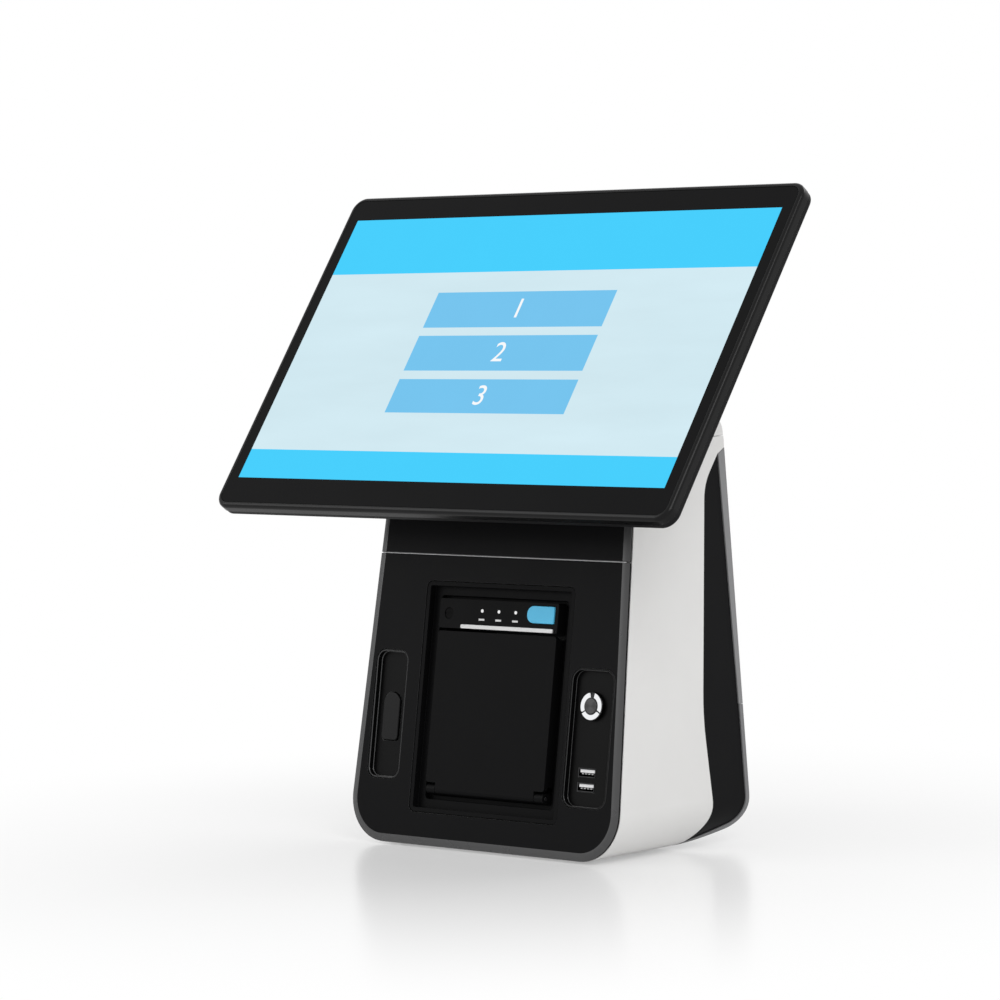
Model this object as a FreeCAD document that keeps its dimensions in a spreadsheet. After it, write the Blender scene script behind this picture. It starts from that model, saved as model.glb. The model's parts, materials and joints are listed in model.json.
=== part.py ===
import FreeCAD, Part
import Sketcher
import math
import os
import re

# Countertop queue ticket printer: a leaning case with a panel printer in its
# front and a tilting touch display on its head. Lengths are millimetres and
# angles are degrees. X runs across the case, Y to its back and Z up.

# Driving sizes: name, value
SIZES = (
    # Case: a white wrap-around shell between a leaning front and a steep back
    ("case_width", 219.0),
    ("side_draft", 2.72),
    ("case_bottom", 1.0),
    ("case_top", 268.0),
    ("case_depth", 128.2),
    ("front_lean", 9.37),
    ("rear_lean", 1.15),
    ("corner_low", 28.0),
    ("corner_high", 20.0),
    ("wall", 3.0),
    ("seam", 0.3),
    ("cap_seam", 246.0),
    ("cap_rear_round", 20.0),
    ("cap_front_round", 1.5),
    ("tail_start", 80.0),
    ("tail_corner", 12.0),
    ("tail_round", 18.0),
    # Black side insert and the bands behind it
    ("toe_y", 93.5),
    ("toe_z", 20.0),
    ("toe_round", 20.0),
    ("waist_y", 88.4),
    ("waist_z", 80.0),
    ("waist_round", 150.0),
    ("shoulder_y", 102.5),
    ("shoulder_z", 218.0),
    ("shoulder_round", 30.0),
    ("tip_y", 116.5),
    ("tip_z", 235.5),
    ("insert_recess", 0.6),
    ("band_top", 239.0),
    ("band_low", 84.0),
    ("band_top_width", 6.0),
    ("band_low_width", 3.6),
    ("tail_rim", 3.2),
    ("vent_length", 70.0),
    ("vent_width", 3.0),
    ("vent_low", 150.0),
    ("vent_pitch", 8.0),
    ("vent_count", 8),
    # Front fascia and panel
    ("panel_plate", 4.0),
    ("front_margin", 0.3),
    ("bevel_depth", 1.2),
    ("bevel_slope", 76.0),
    ("front_edge", 1.3),
    ("panel_seam", 176.5),
    ("panel_seam_gap", 0.6),
    ("recess_floor", 4.0),
    ("recess_wall", 2.0),
    ("latch_left", -96.5),
    ("latch_right", -69.5),
    ("latch_low", 40.0),
    ("latch_high", 119.6),
    ("latch_corner", 7.0),
    ("latch_key_width", 13.6),
    ("latch_key_low", 63.8),
    ("latch_key_high", 93.2),
    ("latch_key_foot_round", 2.5),
    ("latch_key_proud", 1.2),
    ("latch_key_plate", 4.5),
    ("latch_travel", 2.5),
    ("latch_stem_radius", 3.0),
    ("latch_switch_depth", 17.0),
    ("latch_switch_body", 12.0),
    ("latch_switch_height", 4.0),
    ("latch_post_reach", 11.0),
    ("latch_post_radius", 2.0),
    ("control_left", 63.6),
    ("control_right", 98.0),
    ("control_low", 32.4),
    ("control_high", 115.6),
    ("control_corner", 8.0),
    # Power button
    ("power_x", 79.5),
    ("power_high", 93.2),
    ("power_ring_radius", 8.7),
    ("power_barrel_radius", 7.9),
    ("power_ring_proud", 2.6),
    ("power_barrel_length", 18.0),
    ("power_cap_radius", 4.6),
    ("power_cap_proud", 1.3),
    ("power_cap_travel", 1.2),
    ("power_light_width", 2.9),
    ("power_light_inset", 0.6),
    ("power_gap_wide", 3.0),
    ("power_gap_narrow", 1.2),
    ("power_nut_reach", 10.4),
    ("power_nut_plate", 2.4),
    # User port sockets
    ("port_x", 78.6),
    ("port_high", 53.9),
    ("port_pitch", 8.6),
    ("port_width", 13.1),
    ("port_height", 5.1),
    ("port_wall", 0.35),
    ("port_depth", 14.0),
    ("port_tongue_width", 11.0),
    ("port_tongue_plate", 1.8),
    ("port_board_width", 24.0),
    ("port_board_height", 30.0),
    ("board_plate", 1.6),
    # Panel printer: frame in the front panel
    ("printer_left", -59.0),
    ("printer_right", 61.5),
    ("printer_low", 21.5),
    ("printer_high", 163.0),
    ("printer_corner", 4.5),
    ("frame_depth", 12.5),
    ("step_one_inset", 3.0),
    ("step_one_depth", 5.0),
    ("step_two_inset", 8.5),
    ("step_two_depth", 9.0),
    # Printer door and its hinge
    ("door_half", 48.0),
    ("door_gap", 0.3),
    ("door_axis_high", 36.3),
    ("door_axis_depth", 4.6),
    ("knuckle_radius", 3.1),
    ("knuckle_half", 40.0),
    ("door_plate", 3.0),
    ("door_high", 132.8),
    ("door_corner", 2.0),
    ("door_pin_radius", 1.25),
    ("pin_fit", 0.05),
    ("lug_width", 7.0),
    ("arm_plate", 2.5),
    ("arm_low", 112.0),
    ("arm_back", 25.5),
    # Top cover of the printer with its tear bar, lights and release button
    ("cover_low", 134.6),
    ("cover_high", 152.6),
    ("cover_plate", 3.0),
    ("cover_skirt", 2.0),
    ("bar_left", -29.2),
    ("bar_right", 45.0),
    ("bar_low", 134.8),
    ("bar_high", 137.2),
    ("bar_plate", 1.1),
    ("light_first", -13.2),
    ("light_pitch", 13.6),
    ("light_high", 145.9),
    ("light_radius", 1.0),
    ("light_length", 6.6),
    ("light_proud", 0.1),
    ("release_left", 23.8),
    ("release_right", 45.3),
    ("release_low", 140.2),
    ("release_high", 150.6),
    ("release_proud", 0.9),
    ("release_plate", 5.5),
    ("release_travel", 1.2),
    ("screw_x", -40.4),
    ("screw_high", 143.6),
    ("status_board_depth", 8.4),
    # Printer chassis, bucket and roll
    ("chassis_half", 54.0),
    ("chassis_low", 30.5),
    ("chassis_high", 156.0),
    ("chassis_depth", 78.0),
    ("chassis_wall", 2.2),
    ("bucket_floor", 41.6),
    ("paper_x", 9.1),
    ("roll_width", 57.5),
    ("roll_radius", 30.0),
    ("roll_high", 72.3),
    ("roll_depth", 45.5),
    ("roll_clearance", 0.3),
    ("core_radius", 8.3),
    ("core_bore", 6.3),
    ("guide_gap", 1.2),
    ("guide_plate", 2.0),
    ("guide_high", 100.0),
    ("cradle_high", 60.0),
    ("cradle_front", 18.0),
    # Feed train: platen, idler and motor pinion
    ("gear_module", 0.8),
    ("gear_width", 3.0),
    ("gear_left", 44.2),
    ("gear_backlash", 0.24),
    ("gear_addendum", 0.95),
    ("gear_dedendum", 1.25),
    ("platen_teeth", 16),
    ("idler_teeth", 30),
    ("pinion_teeth", 12),
    ("idler_angle", -72.5),
    ("pinion_angle", -100.3),
    ("pressure_angle", 25.0),
    ("pinion_shaft_radius", 1.0),
    ("platen_high", 125.5),
    ("platen_depth", 21.0),
    ("platen_radius", 5.0),
    ("platen_length", 60.0),
    ("platen_shaft_radius", 2.0),
    ("platen_shaft_left", -26.4),
    ("platen_shaft_right", 47.9),
    ("head_gap", 0.3),
    ("head_plate", 2.0),
    ("head_low", 115.0),
    ("head_high", 134.0),
    ("head_bracket_foot", 2.0),
    ("head_length", 62.0),
    ("head_bracket_plate", 1.5),
    ("cross_wall_low", 112.0),
    ("cross_wall_right", 42.0),
    ("cross_wall_plate", 2.2),
    ("gear_plate", 1.5),
    ("gear_plate_low", 114.0),
    ("gear_plate_high", 146.0),
    ("gear_plate_depth", 68.5),
    ("axle_radius", 1.5),
    ("motor_radius", 10.0),
    ("motor_length", 20.0),
    ("motor_boss_radius", 3.0),
    ("printer_board_left", -48.0),
    ("printer_board_right", 38.0),
    ("printer_board_front", 36.0),
    ("printer_board_back", 73.0),
    # Inner steelwork and the main board
    ("base_plate", 1.5),
    ("base_front", 12.0),
    ("base_back", 78.0),
    ("counter_bolt_x", 80.0),
    ("counter_bolt_y", 40.0),
    ("counter_bolt_middle", 45.0),
    ("counter_bolt_radius", 2.25),
    ("frame_plate", 2.0),
    ("frame_front", 56.0),
    ("frame_back", 102.8),
    ("frame_window_margin", 12.0),
    ("frame_window_rise", 24.0),
    ("frame_window_drop", 16.0),
    ("plate_corner", 4.0),
    ("board_corner", 2.0),
    ("hinge_plate", 3.0),
    ("hinge_plate_half", 62.0),
    ("hinge_plate_front", 50.0),
    ("hinge_plate_top", 260.0),
    ("tray_plate", 1.2),
    ("tray_low", 18.0),
    ("tray_high", 172.0),
    ("standoff_radius", 2.5),
    ("standoff_length", 5.0),
    ("main_board_half", 50.0),
    ("main_board_low", 24.0),
    ("main_board_high", 165.0),
    ("board_screw_margin", 5.0),
    ("sink_half", 20.0),
    ("sink_low", 105.0),
    ("sink_high", 145.0),
    ("sink_base", 2.0),
    ("sink_fin_length", 5.4),
    ("sink_fin_plate", 1.2),
    ("sink_fin_count", 8),
    ("rear_port_low", 30.0),
    ("network_x", -32.0),
    ("network_width", 16.0),
    ("network_height", 13.6),
    ("network_mouth_width", 11.8),
    ("network_mouth_height", 8.4),
    ("network_mouth_depth", 12.0),
    ("usb_stack_x", -6.0),
    ("video_x", 16.0),
    ("video_width", 15.0),
    ("video_height", 5.6),
    ("video_depth", 10.0),
    ("video_tongue_margin", 2.0),
    ("video_tongue_plate", 1.0),
    ("inlet_x", 38.0),
    ("inlet_width", 9.0),
    ("inlet_height", 11.0),
    ("inlet_bore", 3.2),
    ("inlet_pin", 1.0),
    ("inlet_depth", 9.5),
    ("foot_x", 68.0),
    ("foot_front", 17.0),
    ("foot_back", 66.0),
    ("foot_radius", 8.0),
    ("foot_sink", 1.5),
    ("foot_floor", 0.9),
    ("foot_screw_radius", 1.6),
    ("foot_screw_head", 3.2),
    ("screw_head_plate", 1.4),
    # Tilt hinge
    ("tilt_y", 66.0),
    ("tilt_z", 278.0),
    ("tilt_shaft_radius", 4.0),
    ("tilt_shaft_half", 47.0),
    ("ear_inner", 26.0),
    ("ear_plate", 6.0),
    ("ear_radius", 8.0),
    ("washer_plate", 1.7),
    ("washer_radius", 7.0),
    ("hinge_gap", 0.3),
    ("arm_width", 6.0),
    ("arm_radius", 8.0),
    ("nut_reach", 7.5),
    ("nut_plate", 3.2),
    # Display head
    ("screen_y", 34.4),
    ("screen_z", 303.5),
    ("screen_lean", 35.7),
    ("screen_width", 344.2),
    ("screen_height", 193.6),
    ("bezel_side", 11.0),
    ("bezel_top", 18.4),
    ("bezel_low", 21.3),
    ("display_corner", 10.0),
    ("ring_depth", 6.6),
    ("ring_wall", 3.2),
    ("ring_round", 2.6),
    ("rim_depth", 11.0),
    ("back_inset", 0.4),
    ("glass_plate", 2.4),
    ("glass_recess", 0.3),
    ("lcd_margin", 4.0),
    ("lcd_plate", 5.6),
    ("back_wall", 2.0),
    ("bulge_half", 108.0),
    ("bulge_low", -78.0),
    ("bulge_high", 78.0),
    ("bulge_depth", 23.0),
    ("bulge_slope", 40.0),
    ("bulge_corner", 18.0),
    ("mount_half", 50.0),
    ("mount_reach", 48.0),
    ("mount_plate", 2.5),
    ("mount_bolt_pitch", 75.0),
    ("mount_bolt_radius", 2.1),
    ("mount_screw_head", 3.6),
    ("driver_half", 60.0),
    ("driver_low", -52.0),
    ("driver_high", 34.0),
    ("display_vent_count", 11),
    ("display_vent_pitch", 7.0),
    ("display_vent_length", 12.0),
    ("display_vent_width", 2.4),
    ("driver_margin", 8.0),
)

NAMES = {name for name, _ in SIZES}
WORD = re.compile(r"[a-z][a-z0-9_]*")

document = FreeCAD.newDocument("ticket_printer")
sheet = document.addObject("Spreadsheet::Sheet", "Sizes")
for row, (name, size) in enumerate(SIZES, start=1):
    sheet.set(f"A{row}", name)
    sheet.set(f"B{row}", str(size))
    sheet.setAlias(f"B{row}", name)
document.recompute()


def bound(text):
    """Return the expression with each size's name pointing at its cell."""
    def cell(match):
        word = match.group()
        return "Sizes." + word if word in NAMES else word
    return WORD.sub(cell, str(text))


def number(text):
    """Return the value that an expression has now."""
    result = sheet.evalExpression(bound(text))
    return float(getattr(result, "Value", result))


# Where the case's outer faces lie at a height
def front_at(height):
    return f"(({height}) * tan(front_lean))"


def rear_at(height):
    return f"(case_depth - ({height}) * tan(rear_lean))"


def half_at(height):
    return f"(case_width / 2 - ({height}) * tan(side_draft))"


FRONT_SET = "((bevel_depth + front_edge + seam) / cos(front_lean))"


def shell_front(height):
    """Where the white shell's front edge lies, behind the edges of the front plates."""
    return f"({front_at(height)} + {FRONT_SET})"


# The three frames that pieces are drawn in. The case foot is set back so that
# the whole object, from the display's low edge to the case's back, is centred.
DISPLAY_REACH = "(screen_height / 2 + bezel_low)"
DISPLAY_FRONT = f"(screen_y - {DISPLAY_REACH} * sin(screen_lean))"
FOOT_Y = f"(-(case_depth + {DISPLAY_FRONT}) / 2)"
FRAMES = {
    "level": (FOOT_Y, "0", "0"),
    "front": (FOOT_Y, "0", "90 - front_lean"),
    "display": (f"{FOOT_Y} + screen_y", "screen_z", "90 - screen_lean"),
}
PLANES = {
    "XY_Plane": FreeCAD.Vector(0, 0, 1),
    "XZ_Plane": FreeCAD.Vector(0, -1, 0),
    "YZ_Plane": FreeCAD.Vector(1, 0, 0),
}
nodes = []


def seat(item, frame):
    """Place an object in one of the three frames, bound to the sizes."""
    base_y, base_z, turn = FRAMES[frame]
    rotation = FreeCAD.Rotation(FreeCAD.Vector(1, 0, 0), number(turn))
    item.Placement = FreeCAD.Placement(FreeCAD.Vector(0, number(base_y), number(base_z)), rotation)
    item.setExpression("Placement.Base.y", bound(base_y))
    item.setExpression("Placement.Base.z", bound(base_z))
    item.setExpression("Placement.Rotation.Angle", bound(turn))


def body(name, frame, keep=True):
    """Start a sub-part; keep says that it is a node of its own."""
    item = document.addObject("PartDesign::Body", name)
    item.Label = name
    item.AllowCompound = True
    seat(item, frame)
    if keep:
        nodes.append(item)
    return item


def box(left, right, low, high, corner=0):
    """Corners of a rectangle, each with the radius that rounds it."""
    return [(left, low, corner), (right, low, corner), (right, high, corner), (left, high, corner)]


def middle_box(x, y, width, height, corner=0):
    half_x = f"({width}) / 2"
    half_y = f"({height}) / 2"
    return box(f"({x}) - {half_x}", f"({x}) + {half_x}", f"({y}) - {half_y}", f"({y}) + {half_y}", corner)


def disc(x, y, radius):
    return ("disc", x, y, radius)


def hexagon(x, y, reach):
    """Corners of a hexagon with two corners on the x line."""
    corners = []
    for step in range(6):
        angle = 60 * step
        corners.append((f"({x}) + ({reach}) * cos({angle})", f"({y}) + ({reach}) * sin({angle})", 0))
    return corners


def pin_point(sketch, item, end, x, y):
    """Tie a point of the sketch to two expressions."""
    for kind, text in (("DistanceX", x), ("DistanceY", y)):
        index = sketch.addConstraint(Sketcher.Constraint(kind, -1, 1, item, end, number(text)))
        sketch.setExpression(f"Constraints[{index}]", bound(text))


def draw_disc(sketch, x, y, radius):
    centre = FreeCAD.Vector(number(x), number(y), 0)
    circle = Part.Circle(centre, FreeCAD.Vector(0, 0, 1), number(radius))
    item = sketch.addGeometry(circle)
    pin_point(sketch, item, 3, x, y)
    index = sketch.addConstraint(Sketcher.Constraint("Radius", item, number(radius)))
    sketch.setExpression(f"Constraints[{index}]", bound(radius))


def draw_polygon(sketch, corners):
    """Draw a closed outline; a corner with a radius gets an arc tangent to both its edges."""
    points = [FreeCAD.Vector(number(x), number(y), 0) for x, y, _ in corners]
    radii = [number(radius) for _, _, radius in corners]
    count = len(points)
    starts = list(points)
    ends = list(points)
    arcs = {}
    for place in range(count):
        if radii[place] <= 0:
            continue
        corner = points[place]
        back = (points[place - 1] - corner).normalize()
        ahead = (points[(place + 1) % count] - corner).normalize()
        half_turn = back.getAngle(ahead) / 2
        reach = radii[place] / math.tan(half_turn)
        ends[place] = corner + back * reach
        starts[place] = corner + ahead * reach
        centre = corner + (back + ahead).normalize() * (radii[place] / math.sin(half_turn))
        first, last = ends[place] - centre, starts[place] - centre
        forward = first.cross(last).z > 0
        if not forward:
            first, last = last, first
        circle = Part.Circle(centre, FreeCAD.Vector(0, 0, 1), radii[place])
        span = (math.atan2(first.y, first.x), math.atan2(last.y, last.x))
        arcs[place] = (Part.ArcOfCircle(circle, *span), forward)
    lines = []
    for place in range(count):
        following = (place + 1) % count
        lines.append(sketch.addGeometry(Part.LineSegment(starts[place], ends[following])))
    for place in range(count):
        x, y, radius = corners[place]
        line_in, line_out = lines[place - 1], lines[place]
        if place not in arcs:
            sketch.addConstraint(Sketcher.Constraint("Coincident", line_in, 2, line_out, 1))
            pin_point(sketch, line_out, 1, x, y)
            continue
        arc, forward = arcs[place]
        curve = sketch.addGeometry(arc)
        first, last = (1, 2) if forward else (2, 1)
        sketch.addConstraint(Sketcher.Constraint("Tangent", line_in, 2, curve, first))
        sketch.addConstraint(Sketcher.Constraint("Tangent", line_out, 1, curve, last))
        index = sketch.addConstraint(Sketcher.Constraint("Radius", curve, radii[place]))
        sketch.setExpression(f"Constraints[{index}]", bound(radius))
        tip = sketch.addGeometry(Part.Point(points[place]), True)
        sketch.addConstraint(Sketcher.Constraint("PointOnObject", tip, 1, line_in))
        sketch.addConstraint(Sketcher.Constraint("PointOnObject", tip, 1, line_out))
        pin_point(sketch, tip, 1, x, y)


def draw(item, plane, height, shapes):
    """Make a sketch of outlines and discs on one of a body's own planes."""
    origin = [feature for feature in item.Origin.OriginFeatures if feature.Role == plane][0]
    sketch = item.newObject("Sketcher::SketchObject", item.Name + "_sketch")
    sketch.AttachmentSupport = [(origin, "")]
    sketch.MapMode = "FlatFace"
    offset = f"-({height})" if plane == "XZ_Plane" else height
    sketch.AttachmentOffset = FreeCAD.Placement(FreeCAD.Vector(0, 0, number(offset)), FreeCAD.Rotation())
    sketch.setExpression("AttachmentOffset.Base.z", bound(offset))
    for shape in shapes:
        if shape[0] == "disc":
            draw_disc(sketch, *shape[1:])
        else:
            draw_polygon(sketch, shape)
    return sketch


def pad(item, shapes, low, high, plane="XY_Plane", taper=None):
    """Add material between two heights over a plane of the body."""
    start = high if plane == "XZ_Plane" else low
    sketch = draw(item, plane, start, shapes)
    feature = item.newObject("PartDesign::Pad", item.Name + "_pad")
    feature.Profile = sketch
    feature.Length = number(f"({high}) - ({low})")
    feature.setExpression("Length", bound(f"({high}) - ({low})"))
    if taper:
        feature.setExpression("TaperAngle", bound(taper))
    return feature


def cut(item, shapes, low, high, plane="XY_Plane", taper=None):
    """Take material away between two heights over a plane of the body."""
    start = low if plane == "XZ_Plane" else high
    sketch = draw(item, plane, start, shapes)
    feature = item.newObject("PartDesign::Pocket", item.Name + "_pocket")
    feature.Profile = sketch
    feature.Length = number(f"({high}) - ({low})")
    feature.setExpression("Length", bound(f"({high}) - ({low})"))
    if taper:
        feature.setExpression("TaperAngle", bound(taper))
    return feature


def round_edges(item, radius, chosen):
    """Round the edges of a body that a test on their middle and direction picks."""
    document.recompute()
    names = []
    for index, edge in enumerate(item.Tip.Shape.Edges, start=1):
        middle = edge.valueAt((edge.FirstParameter + edge.LastParameter) / 2)
        along = edge.tangentAt(edge.FirstParameter)
        if chosen(middle, along):
            names.append(f"Edge{index}")
    feature = item.newObject("PartDesign::Fillet", item.Name + "_fillet")
    feature.Base = (item.Tip if item.Tip != feature else feature.BaseFeature, names)
    feature.setExpression("Radius", bound(radius))
    return feature


def row_of(item, feature, count, pitch, along="Y_Axis"):
    """Repeat a feature in a line along one axis of the body's own origin."""
    axis = [part for part in item.Origin.OriginFeatures if part.Role == along][0]
    pattern = item.newObject("PartDesign::LinearPattern", item.Name + "_row")
    pattern.Originals = [feature]
    pattern.Direction = (axis, [""])
    pattern.setExpression("Length", bound(f"({pitch}) * ({count} - 1)"))
    pattern.setExpression("Occurrences", bound(count))
    item.Tip = pattern
    return pattern


def difference(name, base, tool):
    """A node that is one solid less another."""
    item = document.addObject("Part::Cut", name)
    item.Label = name
    item.Base = base
    item.Tool = tool
    nodes.append(item)
    return item


# Case forms: a side outline carried across the case and trimmed to its front outline
def front_outline(inset):
    low = f"(case_bottom + {inset})"
    high = f"(case_top - {inset})"
    low_half = f"({half_at(low)} - ({inset}) / cos(side_draft))"
    high_half = f"({half_at(high)} - ({inset}) / cos(side_draft))"
    low_round = f"(corner_low - {inset})"
    high_round = f"(corner_high - {inset})"
    return [
        (f"-{low_half}", low, low_round),
        (low_half, low, low_round),
        (high_half, high, high_round),
        (f"-{high_half}", high, high_round),
    ]


def case_form(name, side, inset, keep=False, half=None):
    item = body(name, "level", keep)
    pad(item, [side], "-case_width", "case_width", "YZ_Plane")
    around = box("-2 * case_width", "2 * case_width", "-case_width", "case_top + case_width")
    cut(item, [around, front_outline(inset)], "-case_width", "2 * case_width", "XZ_Plane")
    if half == "left":
        cut(item, [around], "0", "2 * case_width", "YZ_Plane")
    if half == "right":
        cut(item, [around], "-2 * case_width", "0", "YZ_Plane")
    return item


hollow_side = [
    ("-case_width", "-case_width", 0),
    ("tail_start", "-case_width", 0),
    ("tail_start", "case_bottom + wall", 0),
    (f"{rear_at('tail_corner + wall')} - wall", "tail_corner + wall", "tail_round - wall"),
    (f"{rear_at('case_top - wall')} - wall", "case_top - wall", "cap_rear_round - wall"),
    ("-case_width", "case_top - wall", 0),
]
case_hollow = case_form("case_hollow", hollow_side, "wall")

# White shell: one moulding that wraps the case under and up both sides
shell_side = [
    (shell_front("case_bottom"), "case_bottom", 0),
    ("tail_start", "case_bottom", 0),
    ("toe_y", "toe_z", "toe_round"),
    ("waist_y", "waist_z", "waist_round"),
    ("shoulder_y", "shoulder_z", "shoulder_round"),
    ("tip_y", "tip_z", 0),
    (rear_at("band_top + seam"), "band_top + seam", 0),
    (rear_at("cap_seam"), "cap_seam", 0),
    (shell_front("cap_seam"), "cap_seam", 0),
]
shell_form = case_form("shell_form", shell_side, "0")
COUNTER_BOLTS = []
for side_x in ("-counter_bolt_x / 2", "counter_bolt_x / 2"):
    for side_y in ("counter_bolt_middle - counter_bolt_y / 2", "counter_bolt_middle + counter_bolt_y / 2"):
        COUNTER_BOLTS.append(disc(side_x, side_y, "counter_bolt_radius"))
FEET = []
for side_x in ("-foot_x", "foot_x"):
    for side_y in ("foot_front", "foot_back"):
        FEET.append((side_x, side_y))
cut(shell_form, COUNTER_BOLTS, "0", "case_bottom + 2 * wall")
cut(shell_form, [disc(x, y, "foot_screw_radius + pin_fit") for x, y in FEET], "0", "case_bottom + 2 * wall")
foot_top = "(case_bottom + foot_sink)"
cut(shell_form, [disc(x, y, "foot_radius + seam") for x, y in FEET], "0", foot_top)
wrap_shell = difference("wrap_shell", shell_form, case_hollow)

# White cap: closes the head; the two hinge ears pass through its top
cap_side = [
    (shell_front("cap_seam + seam"), "cap_seam + seam", 0),
    (rear_at("cap_seam + seam"), "cap_seam + seam", 0),
    (rear_at("case_top"), "case_top", "cap_rear_round"),
    (shell_front("case_top"), "case_top", "cap_front_round"),
]
cap_form = case_form("cap_form", cap_side, "0")
for side in (-1, 1):
    middle = f"{side} * (ear_inner + ear_plate / 2)"
    slot = middle_box(middle, "tilt_y", "ear_plate + 2 * hinge_gap", "2 * ear_radius + 2 * hinge_gap")
    cut(cap_form, [slot], "cap_seam", "case_top + wall")
top_cap = difference("top_cap", cap_form, case_hollow)

# Light rear cover with its cooling slots
rear_band_low = rear_at("band_low")
rear_band_top = rear_at("band_top")
band_front = f"({rear_band_top} - band_top_width)"
tip_rise = f"((band_top + seam - tip_z) / ({rear_at('band_top + seam')} - tip_y))"
band_front_top = f"(tip_z + {tip_rise} * ({band_front} - tip_y))"
rear_side = [
    (f"{rear_band_low} - band_low_width", "band_low", 0),
    (rear_band_low, "band_low", 0),
    (rear_band_top, "band_top", 0),
    (band_front, f"{band_front_top} - seam", 0),
]
rear_form = case_form("rear_form", rear_side, "0")
first_vent = cut(
    rear_form,
    [middle_box("0", "vent_low", "vent_length", "vent_width", "vent_width / 2.01")],
    "case_depth - 4 * wall",
    "case_depth + wall",
    "XZ_Plane",
)
row_of(rear_form, first_vent, "vent_count", "vent_pitch", "Z_Axis")
rear_cover = difference("rear_cover", rear_form, case_hollow)

# Black tail cover: the bent plate that carries the port openings
tail_top = "(band_low - seam)"
toe_run = "((toe_y - tail_start) / (toe_z - case_bottom))"
tail_side = [
    ("tail_start + seam", "case_bottom", 0),
    (rear_at("tail_corner"), "tail_corner", "tail_round"),
    (rear_at(tail_top), tail_top, 0),
    (f"{rear_at(tail_top)} - tail_rim", tail_top, 0),
    (f"{rear_at('tail_corner + tail_rim')} - tail_rim", "tail_corner + tail_rim", "tail_round - tail_rim"),
    (f"tail_start + seam + tail_rim * {toe_run}", "case_bottom + tail_rim", 0),
]
rear_io_cover = case_form("rear_io_cover", tail_side, "0", keep=True)
REAR_PORTS = (
    ("network_x", "network_width", "network_height"),
    ("usb_stack_x", "port_width", "2 * port_height + port_height"),
    ("video_x", "video_width", "video_height"),
    ("inlet_x", "inlet_width", "inlet_height"),
)
port_windows = []
for x, width, height in REAR_PORTS:
    left, right = f"{x} - ({width}) / 2 - seam", f"{x} + ({width}) / 2 + seam"
    port_windows.append(box(left, right, "rear_port_low - seam", f"rear_port_low + {height} + seam"))
cut(rear_io_cover, port_windows, "case_depth - 6 * wall", "case_depth + wall", "XZ_Plane")

# Black side inserts, set a little under the shell's face
insert_low = "(case_bottom + tail_rim + 3 * seam)"
insert_toe = f"(tail_start + 2 * seam + (tail_rim + 3 * seam) * {toe_run})"
insert_side = [
    (insert_toe, insert_low, 0),
    (
        f"{rear_at('tail_corner')} - tail_rim - seam",
        "tail_corner + tail_rim + seam",
        "tail_round - tail_rim - seam",
    ),
    (f"{rear_at(tail_top)} - tail_rim - seam", tail_top, 0),
    (f"{rear_band_low} - band_low_width - seam", "band_low", 0),
    (f"{band_front} - seam", f"{band_front_top} - 3 * seam", 0),
    ("tip_y", "tip_z - 3 * seam", 0),
    ("shoulder_y + seam", "shoulder_z", "shoulder_round"),
    ("waist_y + seam", "waist_z", "waist_round"),
    ("toe_y + seam", "toe_z", "toe_round"),
]
for half in ("left", "right"):
    insert_form = case_form(f"insert_form_{half}", insert_side, "insert_recess", half=half)
    difference(f"side_insert_{half}", insert_form, case_hollow)


# Heights up the leaning front are measured along its slope in the front frame,
# and depths into the case are negative there.
def slope(height):
    return f"(({height}) / cos(front_lean))"


def panel_edge(slope_height, inset):
    return f"({half_at(f'({slope_height}) * cos(front_lean)')} - ({inset}) / cos(side_draft))"


def front_face(inset, depth):
    """The whole front's outline, moved in, with its foot raised for the lean at a depth."""
    low = f"({slope(f'case_bottom + {inset}')} + ({depth}) * tan(front_lean))"
    high = slope(f"case_top - {inset}")
    return [
        (f"-{panel_edge(low, inset)}", low, f"corner_low - {inset}"),
        (panel_edge(low, inset), low, f"corner_low - {inset}"),
        (panel_edge(high, inset), high, f"corner_high - {inset}"),
        (f"-{panel_edge(high, inset)}", high, f"corner_high - {inset}"),
    ]


def front_plate(name, cut_low, cut_high):
    """A slice of the gloss front: a bevelled face before the shell's edge, and a tongue inside it."""
    plate = body(name, "front")
    edge_back = "(-bevel_depth - front_edge)"
    outer = front_face("front_margin", "bevel_depth + front_edge")
    pad(plate, [outer], edge_back, "-bevel_depth")
    pad(plate, [outer], "-bevel_depth", "0", taper="-bevel_slope")
    pad(plate, [front_face("(wall + seam)", "panel_plate")], "-panel_plate", edge_back)
    rest = box("-case_width", "case_width", cut_low, cut_high)
    cut(plate, [rest], "-panel_plate - seam", "seam")
    return plate


# Black upper fascia, which closes the neck under the display, and black lower
# front panel with its three openings
fascia_low = f"({slope('panel_seam')} + panel_seam_gap / 2)"
panel_high = f"({slope('panel_seam')} - panel_seam_gap / 2)"
neck_fascia = front_plate("neck_fascia", "-case_width", fascia_low)
front_panel = front_plate("front_panel", panel_high, "2 * case_top")
printer_opening = box("printer_left", "printer_right", "printer_low", "printer_high", "printer_corner")
latch_opening = box("latch_left", "latch_right", "latch_low", "latch_high", "latch_corner")
control_opening = box("control_left", "control_right", "control_low", "control_high", "control_corner")
cut(front_panel, [printer_opening, latch_opening, control_opening], "-panel_plate", "0")


def inset_box(left, right, low, high, corner, inset):
    """A rectangle with every side and its corner radius moved in by one amount."""
    return box(
        f"{left} + {inset}", f"{right} - {inset}", f"{low} + {inset}", f"{high} - {inset}", f"{corner} - {inset}"
    )


def recess_tub(name, left, right, low, high, corner):
    """A pocket-shaped moulding that fills one opening of the front panel from behind."""
    tub = body(name, "front")
    pad(tub, [inset_box(left, right, low, high, corner, "seam")], "-recess_floor - recess_wall", "-seam")
    hollow = inset_box(left, right, low, high, corner, "(seam + recess_wall / 2)")
    cut(tub, [hollow], "-recess_floor", "-seam")
    return tub


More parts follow.
